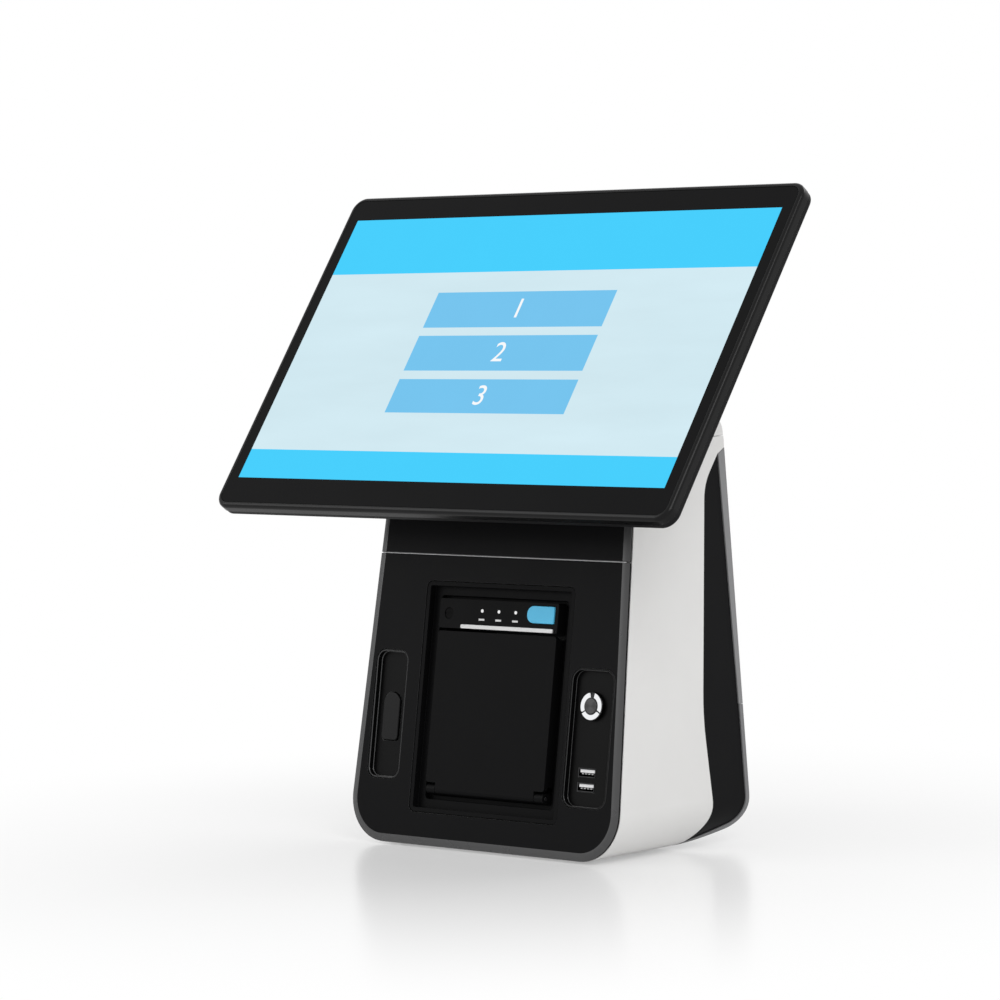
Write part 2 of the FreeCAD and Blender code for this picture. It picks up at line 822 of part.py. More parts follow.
# Left recess with its sprung push key: round at the top, squarer at the foot
latch_middle = "((latch_left + latch_right) / 2)"


def latch_outline(grow):
    left = f"{latch_middle} - latch_key_width / 2 - {grow}"
    right = f"{latch_middle} + latch_key_width / 2 + {grow}"
    foot_round = f"latch_key_foot_round + {grow}"
    head_round = f"(latch_key_width / 2 + {grow}) * 0.97"
    return [
        (left, f"latch_key_low - {grow}", foot_round),
        (right, f"latch_key_low - {grow}", foot_round),
        (right, f"latch_key_high + {grow}", head_round),
        (left, f"latch_key_high + {grow}", head_round),
    ]


latch_recess = recess_tub(
    "latch_recess", "latch_left", "latch_right", "latch_low", "latch_high", "latch_corner"
)
latch_back = "(-recess_floor - recess_wall - latch_key_plate)"
key_well = latch_outline("(2 * seam + recess_wall / 2)")
pad(latch_recess, [key_well], f"{latch_back} - latch_travel", "-recess_floor - recess_wall / 2")
cut(latch_recess, [latch_outline("seam")], "-recess_floor - recess_wall - latch_travel - seam", "0")
key_middle = "((latch_key_low + latch_key_high) / 2)"
stem_hole = disc(latch_middle, key_middle, "latch_stem_radius + seam")
cut(latch_recess, [stem_hole], f"{latch_back} - latch_travel", "0")
switch_board_face = "(-latch_switch_depth - latch_switch_height)"
for side in (-1, 1):
    post = disc(latch_middle, f"{key_middle} + {side} * latch_post_reach", "latch_post_radius")
    pad(latch_recess, [post], switch_board_face, f"{latch_back} - latch_travel")
latch_key = body("latch_key", "front")
pad(latch_key, [latch_outline("0")], "-recess_floor - recess_wall", "-recess_floor + latch_key_proud")
round_edges(latch_key, "latch_key_proud / 2", lambda middle, along: middle.z > -number("recess_floor"))
stem_end = "(-latch_switch_depth + latch_travel + seam)"
pad(latch_key, [disc(latch_middle, key_middle, "latch_stem_radius")], stem_end, "-recess_floor")
latch_switch = body("latch_switch", "front")
switch_face = "-latch_switch_depth"
switch_block = middle_box(latch_middle, key_middle, "latch_switch_body", "latch_switch_body", "1")
pad(latch_switch, [switch_block], switch_board_face, switch_face)
board_height = "latch_key_high - latch_key_low"
board_middle = middle_box(latch_middle, key_middle, "1.5 * latch_key_width", board_height, "board_corner")
pad(latch_switch, [board_middle], f"{switch_board_face} - board_plate", switch_board_face)

# Right recess: power button above two user sockets
control_recess = recess_tub(
    "control_recess", "control_left", "control_right", "control_low", "control_high", "control_corner"
)
PORT_HEIGHTS = ("port_high", "port_high - port_pitch")
tub_back = "(-recess_floor - recess_wall)"
port_holes = [middle_box("port_x", high, "port_width + seam", "port_height + seam") for high in PORT_HEIGHTS]
cut(
    control_recess, [disc("power_x", "power_high", "power_barrel_radius + pin_fit")] + port_holes, tub_back, "0"
)

power_front = "(-recess_floor + power_ring_proud)"
power_back = "(-recess_floor - power_barrel_length)"
power_button_housing = body("power_button_housing", "front")
pad(
    power_button_housing, [disc("power_x", "power_high", "power_barrel_radius")], power_back, "-recess_floor"
)
pad(power_button_housing, [disc("power_x", "power_high", "power_ring_radius")], "-recess_floor", power_front)
round_edges(
    power_button_housing,
    "power_ring_proud / 3",
    lambda middle, along: middle.z > number(power_front) - 0.01,
)
light_inner = "(power_cap_radius + power_light_inset)"
light_outer = "(power_cap_radius + power_light_inset + power_light_width)"
cap_well = "(power_cap_proud + power_cap_travel + power_ring_proud + seam)"
cut(
    power_button_housing,
    [disc("power_x", "power_high", "power_cap_radius + seam / 2")],
    f"-recess_floor - {cap_well}",
    power_front,
)
light_ring = [disc("power_x", "power_high", light_outer), disc("power_x", "power_high", light_inner)]
cut(power_button_housing, light_ring, "-recess_floor + power_ring_proud / 2", power_front)
power_button_light = body("power_button_light", "front")
pad(power_button_light, light_ring, "-recess_floor + power_ring_proud / 2", power_front)
GAPS = ((90, "power_gap_wide"), (210, "power_gap_narrow"), (330, "power_gap_narrow"))
for angle, gap in GAPS:
    spoke = []
    for along, aside in ((0, -1), (1, -1), (1, 1), (0, 1)):
        reach = f"{along} * power_ring_radius"
        offset = f"{aside} * {gap} / 2"
        x = f"power_x + {reach} * cos({angle}) - {offset} * sin({angle})"
        y = f"power_high + {reach} * sin({angle}) + {offset} * cos({angle})"
        spoke.append((x, y, 0))
    cut(power_button_light, [spoke], "-recess_floor", "0")
power_button_cap = body("power_button_cap", "front")
cap_back = "(-recess_floor - power_cap_proud)"
cap_disc = disc("power_x", "power_high", "power_cap_radius")
pad(power_button_cap, [cap_disc], cap_back, f"{power_front} + power_cap_proud / 4")
round_edges(power_button_cap, "power_cap_proud / 5", lambda middle, along: middle.z > number(power_front))
power_button_nut = body("power_button_nut", "front")
nut_hole = disc("power_x", "power_high", "power_barrel_radius + pin_fit")
nut_hexagon = hexagon("power_x", "power_high", "power_nut_reach")
pad(power_button_nut, [nut_hexagon, nut_hole], f"{tub_back} - power_nut_plate", tub_back)

usb_sockets = body("usb_sockets", "front")
usb_tongues = body("usb_tongues", "front")
socket_back = "(-recess_floor - port_depth)"
for high in PORT_HEIGHTS:
    outside = middle_box("port_x", high, "port_width", "port_height", "port_wall * 2")
    pad(usb_sockets, [outside], socket_back, "-recess_floor + seam")
for high in PORT_HEIGHTS:
    inside = middle_box(
        "port_x", high, "port_width - 2 * port_wall", "port_height - 2 * port_wall", "port_wall"
    )
    cut(usb_sockets, [inside], f"{socket_back} + port_wall", "-recess_floor + seam")
    tongue_high = f"{high} + port_height / 5"
    tongue = middle_box("port_x", tongue_high, "port_tongue_width", "port_tongue_plate")
    pad(usb_tongues, [tongue], f"{socket_back} + port_wall", "-recess_floor - port_wall")
user_port_board = body("user_port_board", "front")
port_board_middle = "port_high - port_pitch / 2"
port_board = middle_box("port_x", port_board_middle, "port_board_width", "port_board_height", "1")
pad(user_port_board, [port_board], f"{socket_back} - board_plate", socket_back)

# Stepped frame around the panel printer, seated in the front panel's opening
door_low_edge = "(door_axis_high - knuckle_radius - 2 * door_gap)"
printer_frame = body("printer_frame", "front")
frame_edge = ("printer_left", "printer_right", "printer_low", "printer_high", "printer_corner")
pad(printer_frame, [inset_box(*frame_edge, "seam")], "-frame_depth", "-seam")
cut(printer_frame, [inset_box(*frame_edge, "step_one_inset")], "-step_one_depth", "-seam")
frame_step_two = box(
    "printer_left + step_two_inset",
    "printer_right - step_two_inset",
    "printer_low + step_two_inset",
    "printer_high - step_two_inset",
    "printer_corner / 2",
)
cut(printer_frame, [frame_step_two], "-step_two_depth", "-step_one_depth")
frame_window = box(
    "-door_half - door_gap", "door_half + door_gap", door_low_edge, "cover_high + door_gap", "1"
)
cut(printer_frame, [frame_window], "-frame_depth", "-step_two_depth")

# Printer chassis: an open box with the hinge lugs, the roll's cradle and its guides
roll_middle = ("roll_high", "-roll_depth")
guide_inner = "(roll_width / 2 + guide_gap)"
chassis_front = "(-frame_depth - seam)"
chassis_inner = "(chassis_half - chassis_wall)"
chassis_back = "(-chassis_depth + chassis_wall)"
printer_chassis = body("printer_chassis", "front")
chassis_box = box("-chassis_half", "chassis_half", "chassis_low", "chassis_high")
pad(printer_chassis, [chassis_box], "-chassis_depth", chassis_front)
chassis_room = box(f"-{chassis_inner}", chassis_inner, "bucket_floor", "chassis_high - chassis_wall")
cut(printer_chassis, [chassis_room], chassis_back, chassis_front)
cradle = box("bucket_floor", "cradle_high", chassis_back, "-cradle_front")
guides_left = f"(paper_x - {guide_inner} - guide_plate)"
guides_right = f"(paper_x + {guide_inner} + guide_plate)"
pad(printer_chassis, [cradle], guides_left, guides_right, "YZ_Plane")
guide = box("bucket_floor", "guide_high", chassis_back, "-roll_depth + roll_radius / 3")
pad(printer_chassis, [guide], guides_left, f"{guides_left} + guide_plate", "YZ_Plane")
pad(printer_chassis, [guide], f"{guides_right} - guide_plate", guides_right, "YZ_Plane")
roll_space = disc(*roll_middle, "roll_radius + roll_clearance")
cut(printer_chassis, [roll_space], f"paper_x - {guide_inner}", f"paper_x + {guide_inner}", "YZ_Plane")
cross_wall_front = "(-platen_depth - platen_radius - head_gap - head_plate - head_bracket_plate - seam)"
cross_wall_back = f"({cross_wall_front} - cross_wall_plate)"
cross_wall = box("cross_wall_low", "chassis_high - chassis_wall", cross_wall_back, cross_wall_front)
pad(printer_chassis, [cross_wall], f"-{chassis_inner}", "cross_wall_right", "YZ_Plane")
door_axis = ("door_axis_high", "-door_axis_depth")
lug_inner = "(knuckle_half + door_gap)"
lug_outer = f"({lug_inner} + lug_width)"
lug = [
    ("door_axis_high - knuckle_radius", f"{chassis_front} - 2 * knuckle_radius", 0),
    ("door_axis_high + knuckle_radius", f"{chassis_front} - 2 * knuckle_radius", 0),
    ("door_axis_high + knuckle_radius", "-door_axis_depth + knuckle_radius", "knuckle_radius * 0.98"),
    ("door_axis_high - knuckle_radius", "-door_axis_depth + knuckle_radius", "knuckle_radius * 0.98"),
]
for low, high in ((f"-{lug_outer}", f"-{lug_inner}"), (lug_inner, lug_outer)):
    pad(printer_chassis, [lug], low, high, "YZ_Plane")
    cut(printer_chassis, [disc(*door_axis, "door_pin_radius + pin_fit")], low, high, "YZ_Plane")
door_hinge_pin = body("door_hinge_pin", "front")
pad(
    door_hinge_pin, [disc(*door_axis, "door_pin_radius")], f"-{lug_outer} + seam", f"{lug_outer} - seam", "YZ_Plane"
)

# Printer door: knuckle, plate and the two arms that carry the platen
door_back = "(-door_axis_depth + knuckle_radius - door_plate)"
door_face = "(-door_axis_depth + knuckle_radius)"
lug_top = "(door_axis_high + knuckle_radius + 3 * door_gap)"
printer_door = body("printer_door", "front")
pad(
    printer_door, [box("-door_half", "door_half", lug_top, "door_high", "door_corner")], door_back, door_face
)
door_foot = [
    ("door_axis_high", door_face, 0),
    ("door_axis_high", "-door_axis_depth", 0),
    (f"{lug_top} + door_corner", door_back, 0),
    (f"{lug_top} + door_corner", door_face, 0),
]
pad(printer_door, [door_foot], "-knuckle_half", "knuckle_half", "YZ_Plane")
pad(printer_door, [disc(*door_axis, "knuckle_radius")], "-knuckle_half", "knuckle_half", "YZ_Plane")
cut(
    printer_door, [disc(*door_axis, "door_pin_radius + pin_fit")], "-knuckle_half", "knuckle_half", "YZ_Plane"
)
platen_middle = ("platen_high", "-platen_depth")
rubber_left = "(paper_x - platen_length / 2)"
rubber_right = "(paper_x + platen_length / 2)"
arm_left = f"({rubber_left} - door_gap * 4 - arm_plate)"
arm_right = f"({rubber_right} + door_gap * 4)"
door_arm = box("arm_low", "platen_high + platen_shaft_radius * 2", "-arm_back", f"{door_back} + 0.5", "0")
for low in (arm_left, arm_right):
    pad(printer_door, [door_arm], low, f"{low} + arm_plate", "YZ_Plane")
    bush = disc(*platen_middle, "platen_shaft_radius + pin_fit")
    cut(printer_door, [bush], low, f"{low} + arm_plate", "YZ_Plane")
door_rib = box(arm_left, f"{arm_right} + arm_plate", "arm_low", "arm_low + arm_plate")
pad(printer_door, [door_rib], f"{door_back} - arm_plate", f"{door_back} + 0.5")

# Platen: rubber on a steel shaft, with its gear outside the right arm
platen_shaft = body("platen_shaft", "front")
shaft_disc = disc(*platen_middle, "platen_shaft_radius")
pad(platen_shaft, [shaft_disc], "platen_shaft_left", "platen_shaft_right", "YZ_Plane")
platen_roller = body("platen_roller", "front")
pad(
    platen_roller, [disc(*platen_middle, "platen_radius"), shaft_disc], rubber_left, rubber_right, "YZ_Plane"
)

# Top cover with the light holes, the release button's window and the screw
cover_front = door_face
cover_back = f"({cover_front} - cover_plate)"
LIGHTS = [f"light_first + {place} * light_pitch" for place in range(3)]
release_round = "((release_high - release_low) / 2 * 0.97)"


def release_outline(grow):
    low = f"release_low - {grow}"
    high = f"release_high + {grow}"
    return [
        (f"release_left - {grow}", low, f"{release_round} + {grow}"),
        (f"release_right + {grow}", low, "door_corner / 2"),
        (f"release_right + {grow}", high, "door_corner / 2"),
        (f"release_left - {grow}", high, f"{release_round} + {grow}"),
    ]


printer_top_cover = body("printer_top_cover", "front")
cover_outline = box("-door_half", "door_half", "cover_low", "cover_high", "door_corner / 2")
pad(printer_top_cover, [cover_outline], "-frame_depth", cover_front)
cover_room = box(
    "-door_half + cover_skirt", "door_half - cover_skirt", "cover_low - cover_plate", "cover_high - cover_skirt"
)
cut(printer_top_cover, [cover_room], "-frame_depth", cover_back)
cover_holes = [disc(x, "light_high", "light_radius + pin_fit") for x in LIGHTS]
cover_holes.append(release_outline("seam"))
cover_holes.append(disc("screw_x", "screw_high", "foot_screw_radius + pin_fit"))
cut(printer_top_cover, cover_holes, cover_back, cover_front)
cut(printer_top_cover, [release_outline("seam")], "-frame_depth", cover_back)
screw_seat = f"({cover_front} - screw_head_plate)"
cut(printer_top_cover, [disc("screw_x", "screw_high", "foot_screw_head + seam")], screw_seat, cover_front)
cover_screw = body("cover_screw", "front")
pad(cover_screw, [disc("screw_x", "screw_high", "foot_screw_head")], screw_seat, f"{cover_front} - seam")
pad(
    cover_screw, [disc("screw_x", "screw_high", "foot_screw_radius")], f"{screw_seat} - 2 * cover_plate", screw_seat
)
screw_slot = middle_box("screw_x", "screw_high", "2 * foot_screw_head", "foot_screw_radius / 2")
cut(cover_screw, [screw_slot], f"{screw_seat} + screw_head_plate / 2", cover_front)
tear_bar = body("tear_bar", "front")
bar_outline = box("bar_left", "bar_right", "bar_low", "bar_high", "(bar_high - bar_low) / 3")
pad(tear_bar, [bar_outline], cover_front, f"{cover_front} + bar_plate")
status_lights = body("status_lights", "front")
light_discs = [disc(x, "light_high", "light_radius") for x in LIGHTS]
light_front = f"({cover_front} + light_proud)"
pad(status_lights, light_discs, f"{light_front} - light_length", light_front)
release_button = body("release_button", "front")
release_front = f"({cover_front} + release_proud)"
pad(release_button, [release_outline("0")], f"{release_front} - release_plate", release_front)
round_edges(
    release_button, "release_proud / 2", lambda middle, along: middle.z > number(release_front) - 0.01
)
status_board = body("status_board", "front")
board_low = "(cover_low + cover_plate)"
board_high = "(cover_high - cover_skirt - seam)"
status_outline = box(
    "light_first - 2 * door_gap - board_plate", "door_half - cover_skirt - seam", board_low, board_high
)
pad(status_board, [status_outline], "-status_board_depth - board_plate", "-status_board_depth")


# Feed gears: involute teeth, each pair set in mesh along its line of centres
def pitch_radius(teeth):
    return number(f"{teeth} * gear_module / 2")


def gear_shape(teeth, bore, middle, phase):
    """A spur gear about the X direction with a tooth's middle at the phase angle."""
    module = number("gear_module")
    left = number("gear_left")
    count = int(number(teeth))
    pitch = pitch_radius(teeth)
    pressure = math.radians(number("pressure_angle"))
    base = pitch * math.cos(pressure)
    tip = pitch + number("gear_addendum") * module
    root = pitch - number("gear_dedendum") * module
    half_tooth = (math.pi * module / 2 - number("gear_backlash") / 2) / (2 * pitch)
    involute = math.tan(pressure) - pressure

    def place_at(radius, angle):
        return FreeCAD.Vector(
            left, middle[0] + radius * math.cos(angle), middle[1] + radius * math.sin(angle)
        )

    def half_width(radius):
        slant = math.acos(min(1.0, base / radius))
        return half_tooth + involute - (math.tan(slant) - slant)

    flank = [max(base, root) + (tip - max(base, root)) * step / 4 for step in range(5)]
    edges = []
    turn = 2 * math.pi / count
    for tooth in range(count):
        centre = math.radians(phase) + tooth * turn
        rising = [place_at(radius, centre - half_width(radius)) for radius in flank]
        falling = [place_at(radius, centre + half_width(radius)) for radius in reversed(flank)]
        foot_in = place_at(root, centre - half_width(flank[0]))
        foot_out = place_at(root, centre + half_width(flank[0]))
        next_foot = place_at(root, centre + turn - half_width(flank[0]))
        if root < base:
            edges.append(Part.LineSegment(foot_in, rising[0]).toShape())
        curve = Part.BSplineCurve()
        curve.interpolate(rising)
        edges.append(curve.toShape())
        edges.append(Part.Arc(rising[-1], place_at(tip, centre), falling[0]).toShape())
        curve = Part.BSplineCurve()
        curve.interpolate(falling)
        edges.append(curve.toShape())
        if root < base:
            edges.append(Part.LineSegment(falling[-1], foot_out).toShape())
        edges.append(Part.Arc(foot_out, place_at(root, centre + turn / 2), next_foot).toShape())
    face = Part.Face(Part.Wire(edges))
    wheel = face.extrude(FreeCAD.Vector(number("gear_width"), 0, 0))
    hole = Part.makeCylinder(
        number(bore), number("gear_width"), FreeCAD.Vector(left, *middle), FreeCAD.Vector(1, 0, 0)
    )
    return wheel.cut(hole)


def gear_node(name, shape):
    item = document.addObject("Part::Feature", name)
    item.Label = name
    item.Shape = shape
    seat(item, "front")
    nodes.append(item)
    return item


def next_middle(middle, teeth, next_teeth, angle):
    reach = f"(({teeth} + {next_teeth}) / 2 * gear_module)"
    return (f"({middle[0]} + {reach} * cos({angle}))", f"({middle[1]} + {reach} * sin({angle}))")


def meshed_phase(phase, teeth, next_teeth, angle):
    """Phase of the next gear whose gap faces a tooth across the line of centres."""
    turns = (angle - phase) * int(number(teeth)) / 360
    return angle + 180 - (0.5 - turns) * 360 / int(number(next_teeth))


idler_middle = next_middle(platen_middle, "platen_teeth", "idler_teeth", "idler_angle")
motor_middle = next_middle(idler_middle, "idler_teeth", "pinion_teeth", "pinion_angle")
platen_phase = number("idler_angle")
idler_phase = meshed_phase(platen_phase, "platen_teeth", "idler_teeth", number("idler_angle"))
pinion_phase = meshed_phase(idler_phase, "idler_teeth", "pinion_teeth", number("pinion_angle"))


def numbers(texts):
    return [number(text) for text in texts]


platen_gear = gear_node(
    "platen_gear",
    gear_shape("platen_teeth", "platen_shaft_radius", numbers(platen_middle), platen_phase),
)
idler_gear = gear_node(
    "idler_gear",
    gear_shape("idler_teeth", "axle_radius + pin_fit", numbers(idler_middle), idler_phase),
)
pinion_wheel = gear_shape("pinion_teeth", "pinion_shaft_radius", numbers(motor_middle), pinion_phase)
pinion_shaft = Part.makeCylinder(
    number("pinion_shaft_radius"),
    number("gear_width + 2 * seam"),
    FreeCAD.Vector(number("gear_left - seam"), *numbers(motor_middle)),
    FreeCAD.Vector(1, 0, 0),
)
motor_pinion = gear_node("motor_pinion", pinion_wheel.fuse(pinion_shaft).removeSplitter())

# Gear plate with the idler's axle, and the feed motor on it
gear_plate = body("gear_plate", "front")
plate_left = "cross_wall_right"
plate_right = "(cross_wall_right + gear_plate)"
plate_side = box("gear_plate_low", "gear_plate_high", "-gear_plate_depth", cross_wall_front, "board_corner")
pad(gear_plate, [plate_side], plate_left, plate_right, "YZ_Plane")
cut(gear_plate, [disc(*motor_middle, "motor_boss_radius + seam")], plate_left, plate_right, "YZ_Plane")
axle_end = "gear_left + gear_width + 3 * seam"
pad(gear_plate, [disc(*idler_middle, "axle_radius")], plate_right, axle_end, "YZ_Plane")
feed_motor = body("feed_motor", "front")
motor_disc = disc(*motor_middle, "motor_radius")
pad(feed_motor, [motor_disc], "cross_wall_right - motor_length", "cross_wall_right", "YZ_Plane")
motor_boss = disc(*motor_middle, "motor_boss_radius")
pad(feed_motor, [motor_boss], "cross_wall_right", "gear_left - 2 * seam", "YZ_Plane")

# Thermal print head on its bracket, and the printer's control board
head_face = "(-platen_depth - platen_radius - head_gap)"
head_outline = box("paper_x - head_length / 2", "paper_x + head_length / 2", "head_low", "head_high")
thermal_head = body("thermal_head", "front")
pad(thermal_head, [head_outline], f"{head_face} - head_plate", head_face)
head_bracket = body("head_bracket", "front")
bracket_back = f"({head_face} - head_plate - head_bracket_plate)"
bracket_outline = box(
    "paper_x - head_length / 2",
    "paper_x + head_length / 2",
    "head_low - head_bracket_foot",
    "head_high + 2 * head_bracket_plate",
)
pad(head_bracket, [bracket_outline], bracket_back, f"{head_face} - head_plate")
bracket_lip = box(
    "paper_x - head_length / 2", "paper_x + head_length / 2", "head_high + seam", "head_high + 2 * head_bracket_plate"
)
pad(head_bracket, [bracket_lip], f"{head_face} - head_plate", f"{head_face} + head_bracket_plate")
printer_board = body("printer_board", "front")
board_side = box("printer_board_left", "printer_board_right", "-printer_board_back", "-printer_board_front")
board_top = "(chassis_high - chassis_wall - seam)"
pad(printer_board, [board_side], f"{board_top} - board_plate", board_top, "XZ_Plane")

# Paper roll on its core, lying loose in the cradle
roll_ends = ("paper_x - roll_width / 2", "paper_x + roll_width / 2")
core_outside = disc(*roll_middle, "core_radius")
paper_roll = body("paper_roll", "front")
pad(paper_roll, [disc(*roll_middle, "roll_radius"), core_outside], *roll_ends, "YZ_Plane")
paper_core = body("paper_core", "front")
pad(paper_core, [core_outside, disc(*roll_middle, "core_bore")], *roll_ends, "YZ_Plane")

# Base plate, feet and their screws
plate_under = "(case_bottom + wall + seam)"
plate_over = f"({plate_under} + base_plate)"
foot_holes = [disc(x, y, "foot_screw_radius + pin_fit") for x, y in FEET]
base_plate = body("base_plate", "level")
base_half = f"({half_at('case_bottom')} - corner_low - seam)"
base_outline = box(f"-{base_half}", base_half, "base_front", "base_back", "plate_corner")
pad(base_plate, [base_outline], plate_under, plate_over)
cut(base_plate, COUNTER_BOLTS + foot_holes, plate_under, plate_over)
rubber_feet = body("rubber_feet", "level")
pad(rubber_feet, [disc(x, y, "foot_radius") for x, y in FEET], "0", foot_top)
cut(rubber_feet, foot_holes, "0", foot_top)
foot_seat = f"({foot_top} - foot_floor)"
cut(rubber_feet, [disc(x, y, "foot_screw_head + seam") for x, y in FEET], "0", foot_seat)
foot_screws = body("foot_screws", "level")
pad(
    foot_screws, [disc(x, y, "foot_screw_head") for x, y in FEET], f"{foot_seat} - screw_head_plate", foot_seat
)
pad(foot_screws, [disc(x, y, "foot_screw_radius") for x, y in FEET], foot_seat, f"{plate_over} + base_plate")

# Side frames on the base plate, the hinge plate across their tops
hinge_plate_low = "(hinge_plate_top - hinge_plate)"
frame_inner = "(chassis_half + seam)"
frame_outer = f"({frame_inner} + frame_plate)"
frame_side = [
    ("frame_front", plate_over, 0),
    ("base_back", plate_over, 0),
    ("frame_back", f"{plate_over} + 2 * frame_plate", 0),
    ("frame_back", hinge_plate_low, 0),
    ("frame_front", hinge_plate_low, 0),
]
frame_window = box(
    "frame_front + frame_window_margin",
    "frame_back - frame_window_margin",
    "chassis_high + frame_window_rise",
    f"{hinge_plate_low} - frame_window_drop",
    "frame_window_margin / 2",
)
for half, low, high in (("left", f"-{frame_outer}", f"-{frame_inner}"), ("right", frame_inner, frame_outer)):
    side_frame = body(f"side_frame_{half}", "level")
    pad(side_frame, [frame_side], low, high, "YZ_Plane")
    cut(side_frame, [frame_window], low, high, "YZ_Plane")
tilt_middle = ("tilt_y", "tilt_z")
hinge_plate = body("hinge_plate", "level")
hinge_outline = box(
    "-hinge_plate_half", "hinge_plate_half", "hinge_plate_front", "frame_back", "plate_corner"
)
pad(hinge_plate, [hinge_outline], hinge_plate_low, "hinge_plate_top")
ear_side = box("tilt_y - ear_radius", "tilt_y + ear_radius", "hinge_plate_top", "tilt_z")
for low, high in (("-ear_inner - ear_plate", "-ear_inner"), ("ear_inner", "ear_inner + ear_plate")):
    pad(hinge_plate, [ear_side], low, high, "YZ_Plane")
    pad(hinge_plate, [disc(*tilt_middle, "ear_radius")], low, high, "YZ_Plane")
    cut(hinge_plate, [disc(*tilt_middle, "tilt_shaft_radius + pin_fit")], low, high, "YZ_Plane")

# Board tray with its pressed-in studs, the main board, its heat sink and ports
tray_back = "(frame_back + tray_plate)"
board_front = f"({tray_back} + standoff_length)"
board_back = f"({board_front} + board_plate)"
stud_x = "(main_board_half - board_screw_margin)"
STUDS = []
for x in (f"-{stud_x}", stud_x):
    for z in ("main_board_low + board_screw_margin", "main_board_high - board_screw_margin"):
        STUDS.append((x, z))
board_tray = body("board_tray", "level")
pad(
    board_tray, [box(f"-{frame_outer}", frame_outer, "tray_low", "tray_high")], "frame_back", tray_back, "XZ_Plane"
)
studs = [disc(x, z, "standoff_radius") for x, z in STUDS]
pad(board_tray, studs, tray_back, board_front, "XZ_Plane")
main_board = body("main_board", "level")
board_outline = box(
    "-main_board_half", "main_board_half", "main_board_low", "main_board_high", "board_corner"
)
pad(main_board, [board_outline], board_front, board_back, "XZ_Plane")
cut(main_board, [disc(x, z, "foot_screw_radius") for x, z in STUDS], board_front, board_back, "XZ_Plane")
heat_sink = body("heat_sink", "level")
sink_face = f"({board_back} + sink_base)"
pad(heat_sink, [box("-sink_half", "sink_half", "sink_low", "sink_high")], board_back, sink_face, "XZ_Plane")
first_fin = pad(
    heat_sink,
    [box("-sink_half", "-sink_half + sink_fin_plate", "sink_low", "sink_high")],
    sink_face,
    f"{sink_face} + sink_fin_length",
    "XZ_Plane",
)
fin_pitch = "(2 * sink_half - sink_fin_plate) / (sink_fin_count - 1)"
row_of(heat_sink, first_fin, "sink_fin_count", fin_pitch, "X_Axis")
rear_ports = body("rear_ports", "level")
port_face = f"({rear_at('rear_port_low + network_height')} - seam)"
for x, width, height in REAR_PORTS:
    block = box(f"{x} - ({width}) / 2", f"{x} + ({width}) / 2", "rear_port_low", f"rear_port_low + {height}")
    pad(rear_ports, [block], board_back, port_face, "XZ_Plane")
mouth_low = "rear_port_low + (network_height - network_mouth_height) / 2"
network_mouth = box(
    "network_x - network_mouth_width / 2",
    "network_x + network_mouth_width / 2",
    mouth_low,
    f"{mouth_low} + network_mouth_height",
)
cut(rear_ports, [network_mouth], f"{port_face} - network_mouth_depth", port_face, "XZ_Plane")
for step in (1, 3):
    high = f"rear_port_low + {step} * 0.75 * port_height"
    mouth = middle_box("usb_stack_x", high, "port_width - 2 * port_wall", "port_height - 2 * port_wall")
    tongue = middle_box("usb_stack_x", high, "port_tongue_width", "port_tongue_plate")
    cut(rear_ports, [mouth, tongue], f"{port_face} - port_depth", port_face, "XZ_Plane")
video_high = "rear_port_low + video_height / 2"
video_mouth = middle_box(
    "video_x", video_high, "video_width - 4 * port_wall", "video_height - 4 * port_wall"
)
video_tongue = middle_box(
    "video_x", video_high, "video_width - 2 * video_tongue_margin", "video_tongue_plate"
)
cut(rear_ports, [video_mouth, video_tongue], f"{port_face} - video_depth", port_face, "XZ_Plane")
inlet_high = "rear_port_low + inlet_height / 2"
inlet_ring = [disc("inlet_x", inlet_high, "inlet_bore"), disc("inlet_x", inlet_high, "inlet_pin")]
cut(rear_ports, inlet_ring, f"{port_face} - inlet_depth", port_face, "XZ_Plane")

# Tilt hinge: shaft, friction washers and end nuts
tilt_shaft = body("tilt_shaft", "level")
shaft_side = disc(*tilt_middle, "tilt_shaft_radius")
pad(tilt_shaft, [shaft_side], "-tilt_shaft_half", "tilt_shaft_half", "YZ_Plane")
shaft_hole = disc(*tilt_middle, "tilt_shaft_radius + pin_fit")
tilt_fasteners = body("tilt_fasteners", "level")
washer_inner = "(ear_inner + ear_plate + hinge_gap)"
arm_inner = f"({washer_inner} + washer_plate + hinge_gap)"
arm_outer = f"({arm_inner} + arm_width)"
nut_inner = f"({arm_outer} + 2 * hinge_gap + washer_plate)"
for start in (washer_inner, f"({arm_outer} + hinge_gap)"):
    for low, high in ((start, f"{start} + washer_plate"), (f"-{start} - washer_plate", f"-{start}")):
        pad(tilt_fasteners, [disc(*tilt_middle, "washer_radius"), shaft_hole], low, high, "YZ_Plane")
nut_side = hexagon(*tilt_middle, "nut_reach")
for low, high in ((nut_inner, f"{nut_inner} + nut_plate"), (f"-{nut_inner} - nut_plate", f"-{nut_inner}")):
    pad(tilt_fasteners, [nut_side, shaft_hole], low, high, "YZ_Plane")

